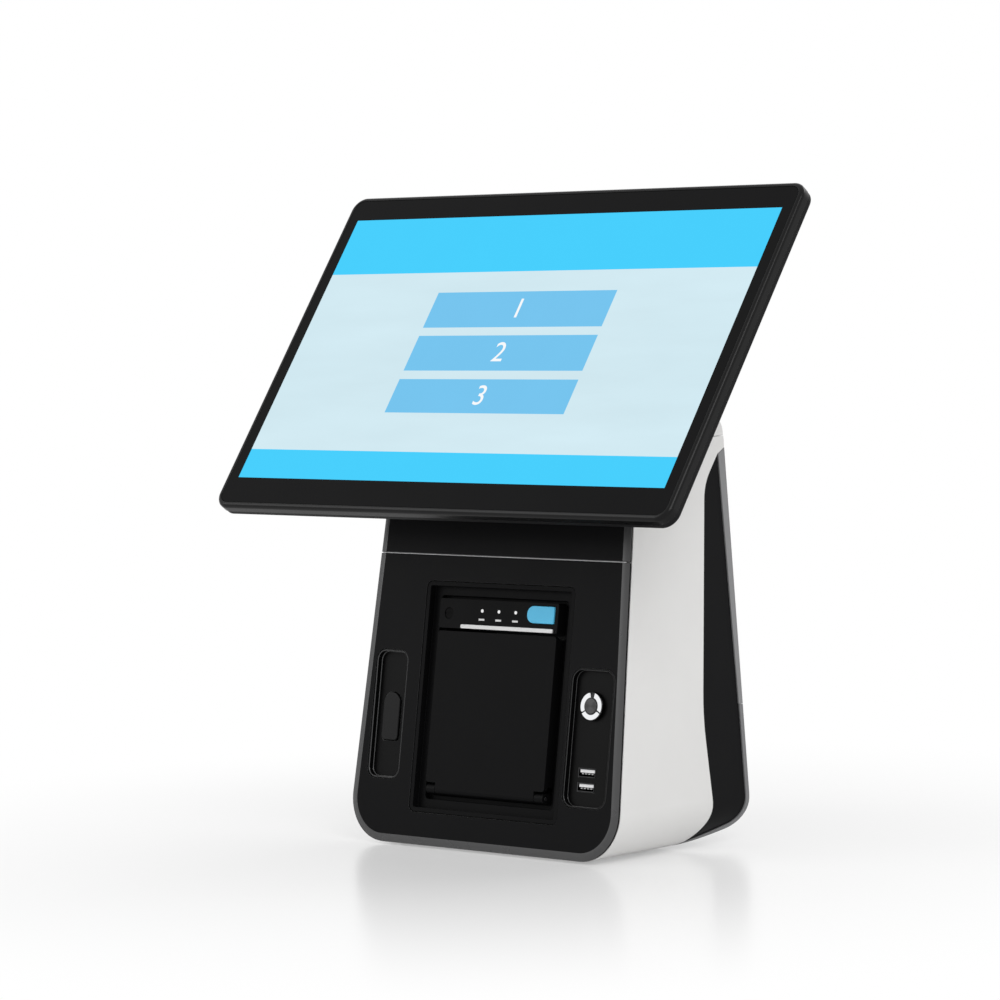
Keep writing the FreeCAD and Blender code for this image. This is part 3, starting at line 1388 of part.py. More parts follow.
# Display bracket: a plate on the display's back with two arms round the shaft
pivot_u = "((tilt_y - screen_y) * sin(screen_lean) + (tilt_z - screen_z) * cos(screen_lean))"
pivot_n = "((tilt_z - screen_z) * sin(screen_lean) - (tilt_y - screen_y) * cos(screen_lean))"
mount_face = "(-bulge_depth + mount_plate)"
mount_outline = box(
    "-mount_half", "mount_half", f"{pivot_u} - mount_reach", f"{pivot_u} + mount_reach", "plate_corner"
)
MOUNT_BOLTS = []
for x in ("-mount_bolt_pitch / 2", "mount_bolt_pitch / 2"):
    for u in (f"{pivot_u} - mount_bolt_pitch / 2", f"{pivot_u} + mount_bolt_pitch / 2"):
        MOUNT_BOLTS.append((x, u))
display_bracket = body("display_bracket", "display")
pad(display_bracket, [mount_outline], "-bulge_depth", mount_face)
bolt_holes = [disc(x, u, "mount_bolt_radius + pin_fit") for x, u in MOUNT_BOLTS]
cut(display_bracket, bolt_holes, "-bulge_depth", mount_face)
arm_side = box(
    f"{pivot_u} - arm_radius", f"{pivot_u} + arm_radius", pivot_n, "-bulge_depth + mount_plate / 2"
)
for low, high in ((arm_inner, arm_outer), (f"-{arm_outer}", f"-{arm_inner}")):
    pad(display_bracket, [arm_side], low, high, "YZ_Plane")
    pad(display_bracket, [disc(pivot_u, pivot_n, "arm_radius")], low, high, "YZ_Plane")
    cut(display_bracket, [disc(pivot_u, pivot_n, "tilt_shaft_radius + pin_fit")], low, high, "YZ_Plane")
bracket_screws = body("bracket_screws", "display")
screw_discs = [disc(x, u, "mount_bolt_radius") for x, u in MOUNT_BOLTS]
screw_heads = [disc(x, u, "mount_screw_head") for x, u in MOUNT_BOLTS]
pad(bracket_screws, screw_heads, "-bulge_depth - screw_head_plate", "-bulge_depth")
pad(bracket_screws, screw_discs, "-bulge_depth", f"{mount_face} + back_wall")

# Display: bezel ring, cover glass, panel, controller board and back cover
display_edge = (
    "-screen_width / 2 - bezel_side",
    "screen_width / 2 + bezel_side",
    "-screen_height / 2 - bezel_low",
    "screen_height / 2 + bezel_top",
    "display_corner",
)
bezel_ring = body("bezel_ring", "display")
pad(bezel_ring, [box(*display_edge)], "-ring_depth", "0")
round_edges(bezel_ring, "ring_round", lambda middle, along: abs(middle.z) < 0.001)
cut(bezel_ring, [inset_box(*display_edge, "ring_wall")], "-ring_depth", "0")
cover_glass = body("cover_glass", "display")
glass_back = "(-glass_recess - glass_plate)"
pad(cover_glass, [inset_box(*display_edge, "(ring_wall + hinge_gap)")], glass_back, "-glass_recess")
lcd_panel = body("lcd_panel", "display")
lcd_front = glass_back
lcd_back = f"({lcd_front} - lcd_plate)"
lcd_outline = middle_box(
    "0", "0", "screen_width + 2 * lcd_margin", "screen_height + 2 * lcd_margin", "board_corner"
)
pad(lcd_panel, [lcd_outline], lcd_back, lcd_front)
display_back = body("display_back", "display")
back_front = "-ring_depth"
back_floor = "(-rim_depth + back_wall)"
bulge_face = "(-bulge_depth)"
bulge_edge = ("-bulge_half", "bulge_half", "bulge_low", "bulge_high", "bulge_corner")
bulge_narrowing = "((bulge_depth - rim_depth) * tan(bulge_slope))"
hollow_inset = "(back_wall / cos(bulge_slope) - back_wall * tan(bulge_slope))"
pad(display_back, [inset_box(*display_edge, "back_inset")], "-rim_depth", back_front)
round_edges(
    display_back, "back_wall * 0.9", lambda middle, along: abs(middle.z + number("rim_depth")) < 0.001
)
bulge_outline = inset_box(*bulge_edge, bulge_narrowing)
pad(display_back, [bulge_outline], bulge_face, "-rim_depth", taper="bulge_slope")
cut(display_back, [inset_box(*display_edge, "ring_wall")], back_floor, back_front)
bulge_room = inset_box(*bulge_edge, hollow_inset)
cut(display_back, [bulge_room], f"{bulge_face} + back_wall", back_floor, taper="-bulge_slope")
seat_outline = box(
    "-mount_half - back_wall",
    "mount_half + back_wall",
    f"{pivot_u} - mount_reach - back_wall",
    f"{pivot_u} + mount_reach + back_wall",
    "plate_corner + back_wall",
)
seat_floor = f"({mount_face} + seam)"
pad(display_back, [seat_outline], f"{bulge_face} + back_wall / 2", f"{seat_floor} + back_wall")
seat_room = box(
    "-mount_half - seam",
    "mount_half + seam",
    f"{pivot_u} - mount_reach - seam",
    f"{pivot_u} + mount_reach + seam",
    "plate_corner",
)
cut(display_back, [seat_room], bulge_face, seat_floor)
cut(display_back, bolt_holes, bulge_face, f"{seat_floor} + back_wall")
vent_left = "-(display_vent_count - 1) * display_vent_pitch / 2"
vent_u = "(bulge_high - display_vent_length - driver_margin)"
display_vent = cut(
    display_back,
    [middle_box(vent_left, vent_u, "display_vent_width", "display_vent_length", "display_vent_width / 2.1")],
    bulge_face,
    f"{bulge_face} + 2 * back_wall",
)
row_of(display_back, display_vent, "display_vent_count", "display_vent_pitch", "X_Axis")
driver_board = body("driver_board", "display")
spacer_end = f"({lcd_back} - 2 * board_plate)"
driver_outline = box("-driver_half", "driver_half", "driver_low", "driver_high", "board_corner")
pad(driver_board, [driver_outline], f"{spacer_end} - board_plate", spacer_end)
spacers = []
for x in ("-driver_half + board_screw_margin", "driver_half - board_screw_margin"):
    for u in ("driver_low + board_screw_margin", "driver_high - board_screw_margin"):
        spacers.append(disc(x, u, "standoff_radius"))
pad(driver_board, spacers, spacer_end, lcd_back)


# Check every object, then write one file for each node
document.recompute()
for item in document.Objects:
    if "Invalid" in item.State or "Error" in item.State:
        raise RuntimeError(f"{item.Label} did not build: {item.State}")
    if item.TypeId == "PartDesign::Pocket" and item.BaseFeature.Shape.Volume - item.Shape.Volume < 0.001:
        raise RuntimeError(f"{item.Label} takes nothing away")
for item in nodes:
    if item.Shape.isNull() or not item.Shape.isValid() or not item.Shape.Solids:
        raise RuntimeError(f"{item.Label} has no sound shape")
os.makedirs("parts", exist_ok=True)
for item in nodes:
    item.Shape.exportStep(f"parts/{item.Label}.step")
print(len(nodes), "nodes written")
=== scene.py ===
import json
import math

import bpy
from mathutils import Matrix, Vector


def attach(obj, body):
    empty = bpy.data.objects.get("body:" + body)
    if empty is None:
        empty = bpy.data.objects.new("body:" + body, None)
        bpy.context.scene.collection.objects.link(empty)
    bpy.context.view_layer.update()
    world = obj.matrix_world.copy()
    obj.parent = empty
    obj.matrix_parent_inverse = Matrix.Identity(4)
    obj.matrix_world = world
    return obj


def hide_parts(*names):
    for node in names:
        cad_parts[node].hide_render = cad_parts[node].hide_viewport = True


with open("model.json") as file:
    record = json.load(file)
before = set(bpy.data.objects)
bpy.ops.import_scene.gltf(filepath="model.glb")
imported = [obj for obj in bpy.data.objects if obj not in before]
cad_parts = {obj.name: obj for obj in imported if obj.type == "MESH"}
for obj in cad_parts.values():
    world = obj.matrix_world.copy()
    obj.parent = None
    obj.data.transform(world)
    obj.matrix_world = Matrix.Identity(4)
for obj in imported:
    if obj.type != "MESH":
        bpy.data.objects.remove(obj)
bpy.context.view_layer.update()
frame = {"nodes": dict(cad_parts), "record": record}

# Studio: a pale floor under a white world, soft lamps at a plain level, and a
# long lens where the photographer stood, at the right front of the device.
bpy.context.scene.view_settings.view_transform = "Standard"

MM = 0.001
TILT_AXIS = next(Vector(joint["pos_m"]) for joint in frame["record"]["behaviour"]["joints"]
                 if joint["name"] == "display_tilt")
TILT_BEHIND_FOOT = 66
FOOT_Y = TILT_AXIS.y - TILT_BEHIND_FOOT * MM
CAMERA_PLACE = Vector((1699.9 * MM, FOOT_Y - 1845.5 * MM, 365.8 * MM))
CAMERA_TURN = math.radians(42.2)
CAMERA_DIP = math.radians(3.5)
CAMERA_ROLL = math.radians(-1.5)
CAMERA_LENS = 151.52
SENSOR_WIDTH = 36
FARTHEST_SEEN = 20


def place_camera():
    """Stand the camera at the photographer's place and turn it the same way."""
    ahead = Vector((-math.sin(CAMERA_TURN) * math.cos(CAMERA_DIP),
                    math.cos(CAMERA_TURN) * math.cos(CAMERA_DIP),
                    -math.sin(CAMERA_DIP)))
    right = Vector((math.cos(CAMERA_TURN), math.sin(CAMERA_TURN), 0))
    up = right.cross(ahead)
    rolled_right = right * math.cos(CAMERA_ROLL) + up * math.sin(CAMERA_ROLL)
    rolled_up = up * math.cos(CAMERA_ROLL) - right * math.sin(CAMERA_ROLL)
    lens = bpy.data.cameras.new("photo_lens")
    lens.lens = CAMERA_LENS
    lens.sensor_width = SENSOR_WIDTH
    lens.clip_end = FARTHEST_SEEN
    camera = bpy.data.objects.new("photo_camera", lens)
    turn = Matrix((rolled_right, rolled_up, -ahead)).transposed().to_4x4()
    camera.matrix_world = Matrix.Translation(CAMERA_PLACE) @ turn
    bpy.context.collection.objects.link(camera)
    bpy.context.scene.camera = camera


LAMP_TARGET = Vector((0, 0, 0.2))


def softbox(name, place, width, height, power):
    """Hang a rectangular lamp at its place, turned to the middle of the device."""
    light = bpy.data.lights.new(name, "AREA")
    light.shape = "RECTANGLE"
    light.size = width
    light.size_y = height
    light.energy = power
    lamp = bpy.data.objects.new(name, light)
    lamp.location = place
    lamp.rotation_euler = (LAMP_TARGET - Vector(place)).to_track_quat("-Z", "Y").to_euler()
    bpy.context.collection.objects.link(lamp)


place_camera()
softbox("key_softbox", place=(2.2, -1.2, 1.9), width=1.6, height=1.6, power=34)
softbox("fill_softbox", place=(-1.9, -1.9, 1.5), width=1.4, height=1.8, power=16)
softbox("back_softbox", place=(0.6, 2.4, 1.8), width=2.0, height=1.0, power=18)

WHITE = (1, 1, 1, 1)
ROOM_FILL = 0.55
ROOM_SEEN = 1.0


def seen_or_mirrored(nodes, links):
    """One where a ray comes from the camera, or off gloss or through glass, and nought elsewhere."""
    path = nodes.new("ShaderNodeLightPath")
    first = nodes.new("ShaderNodeMath")
    first.operation = "MAXIMUM"
    second = nodes.new("ShaderNodeMath")
    second.operation = "MAXIMUM"
    links.new(path.outputs["Is Camera Ray"], first.inputs[0])
    links.new(path.outputs["Is Glossy Ray"], first.inputs[1])
    links.new(first.outputs[0], second.inputs[0])
    links.new(path.outputs["Is Transmission Ray"], second.inputs[1])
    return second.outputs[0]


def light_world():
    """Fill the room with a plain level of light, and show it white to the camera and to gloss."""
    world = bpy.data.worlds.new("white_studio")
    world.use_nodes = True
    nodes, links = world.node_tree.nodes, world.node_tree.links
    nodes.clear()
    fill = nodes.new("ShaderNodeBackground")
    fill.inputs["Color"].default_value = WHITE
    fill.inputs["Strength"].default_value = ROOM_FILL
    shown = nodes.new("ShaderNodeBackground")
    shown.inputs["Color"].default_value = WHITE
    shown.inputs["Strength"].default_value = ROOM_SEEN
    mix = nodes.new("ShaderNodeMixShader")
    links.new(seen_or_mirrored(nodes, links), mix.inputs[0])
    links.new(fill.outputs[0], mix.inputs[1])
    links.new(shown.outputs[0], mix.inputs[2])
    links.new(mix.outputs[0], nodes.new("ShaderNodeOutputWorld").inputs["Surface"])
    bpy.context.scene.world = world


FLOOR_SIZE = 12
FLOOR_UNDER_FEET = 0.2
FLOOR_COLOUR = (0.9, 0.9, 0.9, 1)
FLOOR_ROUGHNESS = 0.22
FLOOR_SHINE = 0.6
FADE_START = 0.12
FADE_END = 0.55
NEAR_WHITENESS = 0.35


def lay_floor():
    """Lay a floor that mirrors the device near its foot and fades to plain white further out."""
    bpy.ops.object.select_all(action="DESELECT")
    bpy.ops.mesh.primitive_plane_add(size=FLOOR_SIZE, location=(0, 0, -FLOOR_UNDER_FEET * MM))
    floor = bpy.context.active_object
    floor.name = "pale_floor"
    material = bpy.data.materials.new("pale_floor")
    material.use_nodes = True
    nodes, links = material.node_tree.nodes, material.node_tree.links
    shader = nodes["Principled BSDF"]
    shader.inputs["Base Color"].default_value = FLOOR_COLOUR
    shader.inputs["Roughness"].default_value = FLOOR_ROUGHNESS
    shader.inputs["Specular IOR Level"].default_value = FLOOR_SHINE
    white = nodes.new("ShaderNodeEmission")
    place = nodes.new("ShaderNodeTexCoord")
    reach = nodes.new("ShaderNodeVectorMath")
    reach.operation = "LENGTH"
    links.new(place.outputs["Object"], reach.inputs[0])
    fade = nodes.new("ShaderNodeMapRange")
    fade.interpolation_type = "SMOOTHSTEP"
    fade.inputs["From Min"].default_value = FADE_START
    fade.inputs["From Max"].default_value = FADE_END
    fade.inputs["To Min"].default_value = NEAR_WHITENESS
    links.new(reach.outputs["Value"], fade.inputs["Value"])
    share = nodes.new("ShaderNodeMath")
    share.operation = "MULTIPLY"
    links.new(fade.outputs[0], share.inputs[0])
    links.new(seen_or_mirrored(nodes, links), share.inputs[1])
    mix = nodes.new("ShaderNodeMixShader")
    links.new(share.outputs[0], mix.inputs[0])
    links.new(shader.outputs[0], mix.inputs[1])
    links.new(white.outputs[0], mix.inputs[2])
    links.new(mix.outputs[0], nodes["Material Output"].inputs["Surface"])
    floor.data.materials.append(material)


light_world()
lay_floor()

# White case shell: one ABS moulding that wraps the case under and up both
# sides, 3 mm thick, with a fine even grain and a softly broken front rim.
COAT_ROUGHNESS = 0.04
BUMP_STRENGTH = 0.35
SMOOTHEST = 0.02
UNLIT_BLACK = (0.01, 0.01, 0.01, 1)


def finish(name, colour, roughness, metallic=0.0, coat=0.0, grain=2400, grain_depth=0.02, spread=0.05,
           streak=(1, 1, 1), cloud=35.0, shine=0.5, glow=0.0):
    """A material with a fine grain in its bump and cloudy changes in colour and gloss."""
    material = bpy.data.materials.new(name)
    material.use_nodes = True
    nodes, links = material.node_tree.nodes, material.node_tree.links
    shader = nodes["Principled BSDF"]
    shader.inputs["Metallic"].default_value = metallic
    shader.inputs["Coat Weight"].default_value = coat
    shader.inputs["Coat Roughness"].default_value = COAT_ROUGHNESS
    shader.inputs["Specular IOR Level"].default_value = shine
    place = nodes.new("ShaderNodeTexCoord")
    stretch = nodes.new("ShaderNodeMapping")
    stretch.inputs["Scale"].default_value = streak
    links.new(place.outputs["Object"], stretch.inputs["Vector"])
    fine = nodes.new("ShaderNodeTexNoise")
    fine.inputs["Scale"].default_value = grain
    fine.inputs["Detail"].default_value = 3
    links.new(stretch.outputs[0], fine.inputs["Vector"])
    bump = nodes.new("ShaderNodeBump")
    bump.inputs["Strength"].default_value = BUMP_STRENGTH
    bump.inputs["Distance"].default_value = grain_depth * MM
    links.new(fine.outputs["Fac"], bump.inputs["Height"])
    links.new(bump.outputs["Normal"], shader.inputs["Normal"])
    broad = nodes.new("ShaderNodeTexNoise")
    broad.inputs["Scale"].default_value = cloud
    broad.inputs["Detail"].default_value = 4
    links.new(stretch.outputs[0], broad.inputs["Vector"])
    swing = 3 * spread
    gloss = nodes.new("ShaderNodeMapRange")
    gloss.inputs["To Min"].default_value = max(SMOOTHEST, roughness * (1 - swing))
    gloss.inputs["To Max"].default_value = min(1.0, roughness * (1 + swing))
    links.new(broad.outputs["Fac"], gloss.inputs["Value"])
    links.new(gloss.outputs[0], shader.inputs["Roughness"])
    # A colour mix takes its two colours at inputs 6 and 7 and gives output 2.
    tone = nodes.new("ShaderNodeMix")
    tone.data_type = "RGBA"
    tone.inputs[6].default_value = (*(channel * (1 - spread) for channel in colour), 1)
    tone.inputs[7].default_value = (*(min(1, channel * (1 + spread)) for channel in colour), 1)
    links.new(broad.outputs["Fac"], tone.inputs[0])
    if glow:
        shader.inputs["Base Color"].default_value = UNLIT_BLACK
        shader.inputs["Emission Strength"].default_value = glow
        links.new(tone.outputs[2], shader.inputs["Emission Color"])
    else:
        links.new(tone.outputs[2], shader.inputs["Base Color"])
    return material


def only(piece):
    """Select one piece and no other."""
    bpy.ops.object.select_all(action="DESELECT")
    piece.select_set(True)
    bpy.context.view_layer.objects.active = piece


WELD_GAP = 0.004
FLAT_TURN = math.radians(0.4)
SHARP_TURN = math.radians(34)
SMOOTH_TURN = math.radians(60)


def softened(node, name, material, body, radius, segments=2):
    """Copy a node's solid, join its triangles into faces, and break its sharp edges as a mould does."""
    bpy.ops.object.select_all(action="DESELECT")
    piece = bpy.data.objects.new(name, frame["nodes"][node].data.copy())
    bpy.context.collection.objects.link(piece)
    only(piece)
    if piece.data.has_custom_normals:
        bpy.ops.mesh.customdata_custom_splitnormals_clear()
    bpy.ops.object.mode_set(mode="EDIT")
    bpy.ops.mesh.select_all(action="SELECT")
    bpy.ops.mesh.remove_doubles(threshold=WELD_GAP * MM)
    bpy.ops.mesh.dissolve_limited(angle_limit=FLAT_TURN)
    bpy.ops.object.mode_set(mode="OBJECT")
    edge = piece.modifiers.new("broken_edge", "BEVEL")
    edge.width = radius * MM
    edge.segments = segments
    edge.limit_method = "ANGLE"
    edge.angle_limit = SHARP_TURN
    edge.miter_outer = "MITER_ARC"
    even = piece.modifiers.new("even_shade", "WEIGHTED_NORMAL")
    even.keep_sharp = True
    only(piece)
    bpy.ops.object.shade_smooth_by_angle(angle=SMOOTH_TURN, keep_sharp_edges=False)
    bpy.ops.object.modifier_apply(modifier=edge.name)
    bpy.ops.object.modifier_apply(modifier=even.name)
    piece.data.materials.clear()
    piece.data.materials.append(material)
    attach(piece, body)
    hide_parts(node)
    return piece


shell_white = finish("shell_white", (0.76, 0.755, 0.745), 0.42, grain=2600, grain_depth=0.015, spread=0.02)
softened("wrap_shell", "white_case_shell", shell_white, "base_unit", radius=0.5)

# White cap of the case's head, clipped on over the side frames; two slots in
# its top let the hinge ears through.
softened("top_cap", "white_head_cap", shell_white, "base_unit", radius=0.5)

# Rear of the case: a grey cover with cooling slots over a darker bent cover
# that carries the port openings, both moulded with a spark texture. The ports
# behind the openings are steel boxes on the main board.
rear_grey = finish("rear_grey", (0.22, 0.22, 0.225), 0.5, grain=1900, grain_depth=0.03, spread=0.03)
tail_grey = finish("tail_grey", (0.17, 0.17, 0.175), 0.5, grain=1900, grain_depth=0.03, spread=0.03)
port_steel = finish("port_steel", (0.62, 0.62, 0.63), 0.3, metallic=1.0, grain=1500, spread=0.06)


def dress(node, material):
    """Give a CAD node its material."""
    mesh = frame["nodes"][node].data
    mesh.materials.clear()
    mesh.materials.append(material)


softened("rear_cover", "grey_rear_cover", rear_grey, "base_unit", radius=0.4)
softened("rear_io_cover", "port_cover", tail_grey, "base_unit", radius=0.4)
dress("rear_ports", port_steel)

# Black side inserts: satin ABS panels that fill the white shell's two sides
# and lie a little under its face.
insert_black = finish("insert_black", (0.0045, 0.0045, 0.005), 0.5, grain=2200, grain_depth=0.03,
                      spread=0.06, shine=0.06)
softened("side_insert_right", "black_insert_right", insert_black, "base_unit", radius=0.4)
softened("side_insert_left", "black_insert_left", insert_black, "base_unit", radius=0.4)

# Black front: an upper fascia and a lower panel of polished plastic that throw
# little light back, with a wide bevel all round that shows as a grey band, painted in as a painted sheen
# for the light the bevel reflects.
front_black = finish("front_black", (0.005, 0.005, 0.0054), 0.35, grain=700, grain_depth=0.004,
                     spread=0.06, shine=0.05)
# Grey of the bevel band: a painted sheen standing in for the light the black bevel reflects.
painted_sheen_grey = finish("painted_sheen_grey", (0.038, 0.038, 0.039), 0.28, grain=900, grain_depth=0.004,
                   spread=0.05, shine=0.6)
FRONT_LEAN = math.radians(9.37)
FRONT_NORMAL = Vector((0, -math.cos(FRONT_LEAN), math.sin(FRONT_LEAN)))
SHEEN_STEEPEST = 0.3
SHEEN_FLATTEST = 0.988


def with_painted_sheen(piece):
    """Give the painted sheen's grey, which stands in for reflected light, to the faces that slope away from
    the leaning front.
    """
    piece.data.materials.append(painted_sheen_grey)
    for face in piece.data.polygons:
        if SHEEN_STEEPEST < face.normal.dot(FRONT_NORMAL) < SHEEN_FLATTEST:
            face.material_index = len(piece.data.materials) - 1


# The fascia's and panel's bevel faces get the painted sheen.
with_painted_sheen(softened("neck_fascia", "neck_fascia_moulding", front_black, "base_unit", radius=0.3))
with_painted_sheen(softened("front_panel", "front_panel_moulding", front_black, "base_unit", radius=0.3))

# Painted highlight in the seam between fascia and panel: a thin pale strip laid in along
# the whole seam, which stands in for the light the seam's edges catch and shows only as a light line.
SEAM_HIGH = 178.9
SEAM_HALF = 98.4
GLINT_STRIP_UP = 0.5
GLINT_STRIP_DEEP = 1.5
GLINT_STRIP_EDGE = 0.1
GLINT_STRIP_OUT = -0.72
# Pale grey of the strip: a painted highlight, not the colour of any real part.
seam_glint_grey = finish("seam_glint_grey", (0.6, 0.6, 0.61), 0.4, grain=900, grain_depth=0.0, spread=0.03)
FRONT_TURN = math.pi / 2 - FRONT_LEAN


def front_place(across, up, out):
    """A point in the leaning front's own frame: along X, up the slope, and out of it, in millimetres."""
    return Vector((across * MM,
                   FOOT_Y + (up * math.sin(FRONT_LEAN) - out * math.cos(FRONT_LEAN)) * MM,
                   (up * math.cos(FRONT_LEAN) + out * math.sin(FRONT_LEAN)) * MM))


def broken_bar(across, up, deep, edge, segments=1, aside=0.0):
    """Add a straight bar that lies flat, with its edges broken all round; sizes in millimetres."""
    bpy.ops.object.select_all(action="DESELECT")
    bpy.ops.mesh.primitive_cube_add(size=1, location=(aside * MM, 0, 0),
                                    scale=(across * MM, up * MM, deep * MM))
    bar = bpy.context.active_object
    bpy.ops.object.transform_apply(location=True, rotation=False, scale=True)
    bpy.ops.object.mode_set(mode="EDIT")
    bpy.ops.mesh.select_all(action="SELECT")
    bpy.ops.mesh.bevel(offset=edge * MM, segments=segments, affect="EDGES")
    bpy.ops.object.mode_set(mode="OBJECT")
    return bar


def set_down(piece, name, turn, place, body, material):
    """Name a new piece, turn it to its surface, fix its place in its mesh and let it ride its body."""
    piece.name = name
    only(piece)
    piece.rotation_euler = (turn, 0, 0)
    piece.location = place
    bpy.ops.object.transform_apply(location=True, rotation=True, scale=True)
    piece.data.materials.clear()
    piece.data.materials.append(material)
    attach(piece, body)
    return piece


set_down(broken_bar(2 * SEAM_HALF, GLINT_STRIP_UP, GLINT_STRIP_DEEP, GLINT_STRIP_EDGE), "painted_seam_glint_strip", FRONT_TURN,
         front_place(0, SEAM_HIGH, GLINT_STRIP_OUT), "base_unit", seam_glint_grey)

# Left recess: a pocket moulded apart and set into the front panel, with a
# sprung oblong key that works a small switch on its own board.
recess_black = finish("recess_black", (0.002, 0.002, 0.0021), 0.4, grain=2400, grain_depth=0.02,
                      spread=0.06, shine=0.08)
key_black = finish("key_black", (0.004, 0.004, 0.0042), 0.3, grain=2400, grain_depth=0.01,
                   spread=0.06, shine=0.15)
board_green = finish("board_green", (0.015, 0.11, 0.045), 0.4, coat=0.3, grain=420, grain_depth=0.02,
                     spread=0.25)
# The left recess's sloping rim faces get the painted sheen: a lighter grey that stands in for the light the
# rim catches.
with_painted_sheen(softened("latch_recess", "left_recess_moulding", recess_black, "base_unit", radius=0.6))
softened("latch_key", "oblong_key", key_black, "side_key", radius=0.4, segments=3)
dress("latch_switch", board_green)

# Right recess: the same kind of pocket round the power button's turned steel
# housing, which a nut holds from behind, and round two folded steel sockets
# with white plastic tongues, which stand on a small green board.
plain_steel = finish("plain_steel", (0.5, 0.5, 0.51), 0.36, metallic=1.0, grain=900, spread=0.08,
                     streak=(1, 8, 8))
socket_steel = finish("socket_steel", (0.05, 0.05, 0.052), 0.35, metallic=1.0, grain=1200, spread=0.08)
tongue_white = finish("tongue_white", (0.85, 0.85, 0.86), 0.4, spread=0.03)
# The housing's steel is made nearly black: painted shade that stands in for the dark reflections seen in it
# and in the gaps of its light ring.
painted_dark_button_steel = finish("painted_dark_button_steel", (0.035, 0.035, 0.036), 0.3, metallic=1.0, grain=1400,
                      grain_depth=0.004, spread=0.06)
# The right recess's sloping rim faces get the painted sheen: a lighter grey that stands in for the light
# the rim catches.
with_painted_sheen(softened("control_recess", "right_recess_moulding", recess_black, "base_unit", radius=0.6))
dress("power_button_housing", painted_dark_button_steel)
dress("power_button_nut", plain_steel)
dress("usb_sockets", socket_steel)
dress("usb_tongues", tongue_white)
dress("user_port_board", board_green)

# Light ring of the power button: three lit segments, with a wide gap at the top
# that opens outwards and is cut through the ring.
BUTTON_ACROSS = 79.5
BUTTON_HIGH = 93.2
GAP_ABOVE_CENTRE = 3.4
GAP_INNER = 2.6
GAP_OUTER = 6.0
GAP_LENGTH = 7.0
WEDGE_DEEP = 12
WEDGE_OUT = -2.0
ring_glow = finish("ring_glow", (0.9, 0.91, 0.93), 0.3, grain=1200, grain_depth=0.0, spread=0.03, glow=0.9)
light_ring = softened("power_button_light", "button_light_ring", ring_glow, "base_unit", radius=0.15)
bpy.ops.object.select_all(action="DESELECT")
bpy.ops.mesh.primitive_cube_add(size=1, scale=(GAP_OUTER * MM, GAP_LENGTH * MM, WEDGE_DEEP * MM))
wedge = bpy.context.active_object
bpy.ops.object.transform_apply(location=False, rotation=False, scale=True)
for corner in wedge.data.vertices:
    if corner.co.y < 0:
        corner.co.x *= GAP_INNER / GAP_OUTER
wedge.rotation_euler = (FRONT_TURN, 0, 0)
wedge.location = front_place(BUTTON_ACROSS, BUTTON_HIGH + GAP_ABOVE_CENTRE + GAP_LENGTH / 2, WEDGE_OUT)
bpy.ops.object.transform_apply(location=True, rotation=True, scale=True)
only(light_ring)
gap = light_ring.modifiers.new("top_gap", "BOOLEAN")
gap.operation = "DIFFERENCE"
gap.solver = "EXACT"
gap.object = wedge
bpy.ops.object.modifier_apply(modifier=gap.name)
bpy.data.objects.remove(wedge)

# Spring contacts under each socket's tongue: four thin strips of sprung steel
# side by side, joined in a comb.
SOCKET_ACROSS = 78.6
CONTACT_ACROSS = 1.3
CONTACT_UP = 0.8
CONTACT_DEEP = 6
CONTACT_EDGE = 0.15
CONTACT_PITCH = 2.5
CONTACTS_OUT = -7.4
contact_steel = finish("contact_steel", (0.42, 0.42, 0.42), 0.35, metallic=1.0, grain=1200, spread=0.06)
for comb_name, comb_high in (("contacts_upper", 53.3), ("contacts_lower", 44.7)):
    strips = [broken_bar(CONTACT_ACROSS, CONTACT_UP, CONTACT_DEEP, CONTACT_EDGE, aside=step * CONTACT_PITCH)
              for step in (-1.5, -0.5, 0.5, 1.5)]
    bpy.ops.object.select_all(action="DESELECT")
    for strip in strips:
        strip.select_set(True)
    comb = strips[0]
    bpy.context.view_layer.objects.active = comb
    bpy.ops.object.join()
    set_down(comb, comb_name, FRONT_TURN, front_place(SOCKET_ACROSS, comb_high, CONTACTS_OUT), "base_unit",
             contact_steel)

# Sprung cap of the power button: turned steel that slides in the housing, with
# the lathe's fine rings left in its face, and its steel darkened as painted shade for the dark reflections
# in its face.
CAP_FACE_OUT = -1.5
RING_PITCH = 0.45
RING_DEPTH = 0.02
RING_STRENGTH = 0.5
# Nearly black steel: painted shade standing in for dark reflections, with the lamps giving its highlights.
painted_dark_turned_steel = finish("painted_dark_turned_steel", (0.055, 0.055, 0.056), 0.2, metallic=1.0, grain=1600,
                      grain_depth=0.003, spread=0.04)


def turn_rings(material, centre):
    """Add the lathe's rings to a steel's bump, round one centre on the leaning front."""
    nodes, links = material.node_tree.nodes, material.node_tree.links
    bump = next(node for node in nodes if node.type == "BUMP")
    place = nodes.new("ShaderNodeTexCoord")
    shift = nodes.new("ShaderNodeVectorMath")
    shift.operation = "DISTANCE"
    shift.inputs[1].default_value = centre
    links.new(place.outputs["Object"], shift.inputs[0])
    wave = nodes.new("ShaderNodeMath")
    wave.operation = "MULTIPLY"
    wave.inputs[1].default_value = 2 * math.pi / (RING_PITCH * MM)
    links.new(shift.outputs["Value"], wave.inputs[0])
    ridge = nodes.new("ShaderNodeMath")
    ridge.operation = "SINE"
    links.new(wave.outputs[0], ridge.inputs[0])
    rings = nodes.new("ShaderNodeBump")
    rings.inputs["Strength"].default_value = RING_STRENGTH
    rings.inputs["Distance"].default_value = RING_DEPTH * MM
    links.new(ridge.outputs[0], rings.inputs["Height"])
    links.new(bump.outputs["Normal"], rings.inputs["Normal"])
    links.new(rings.outputs["Normal"], nodes["Principled BSDF"].inputs["Normal"])


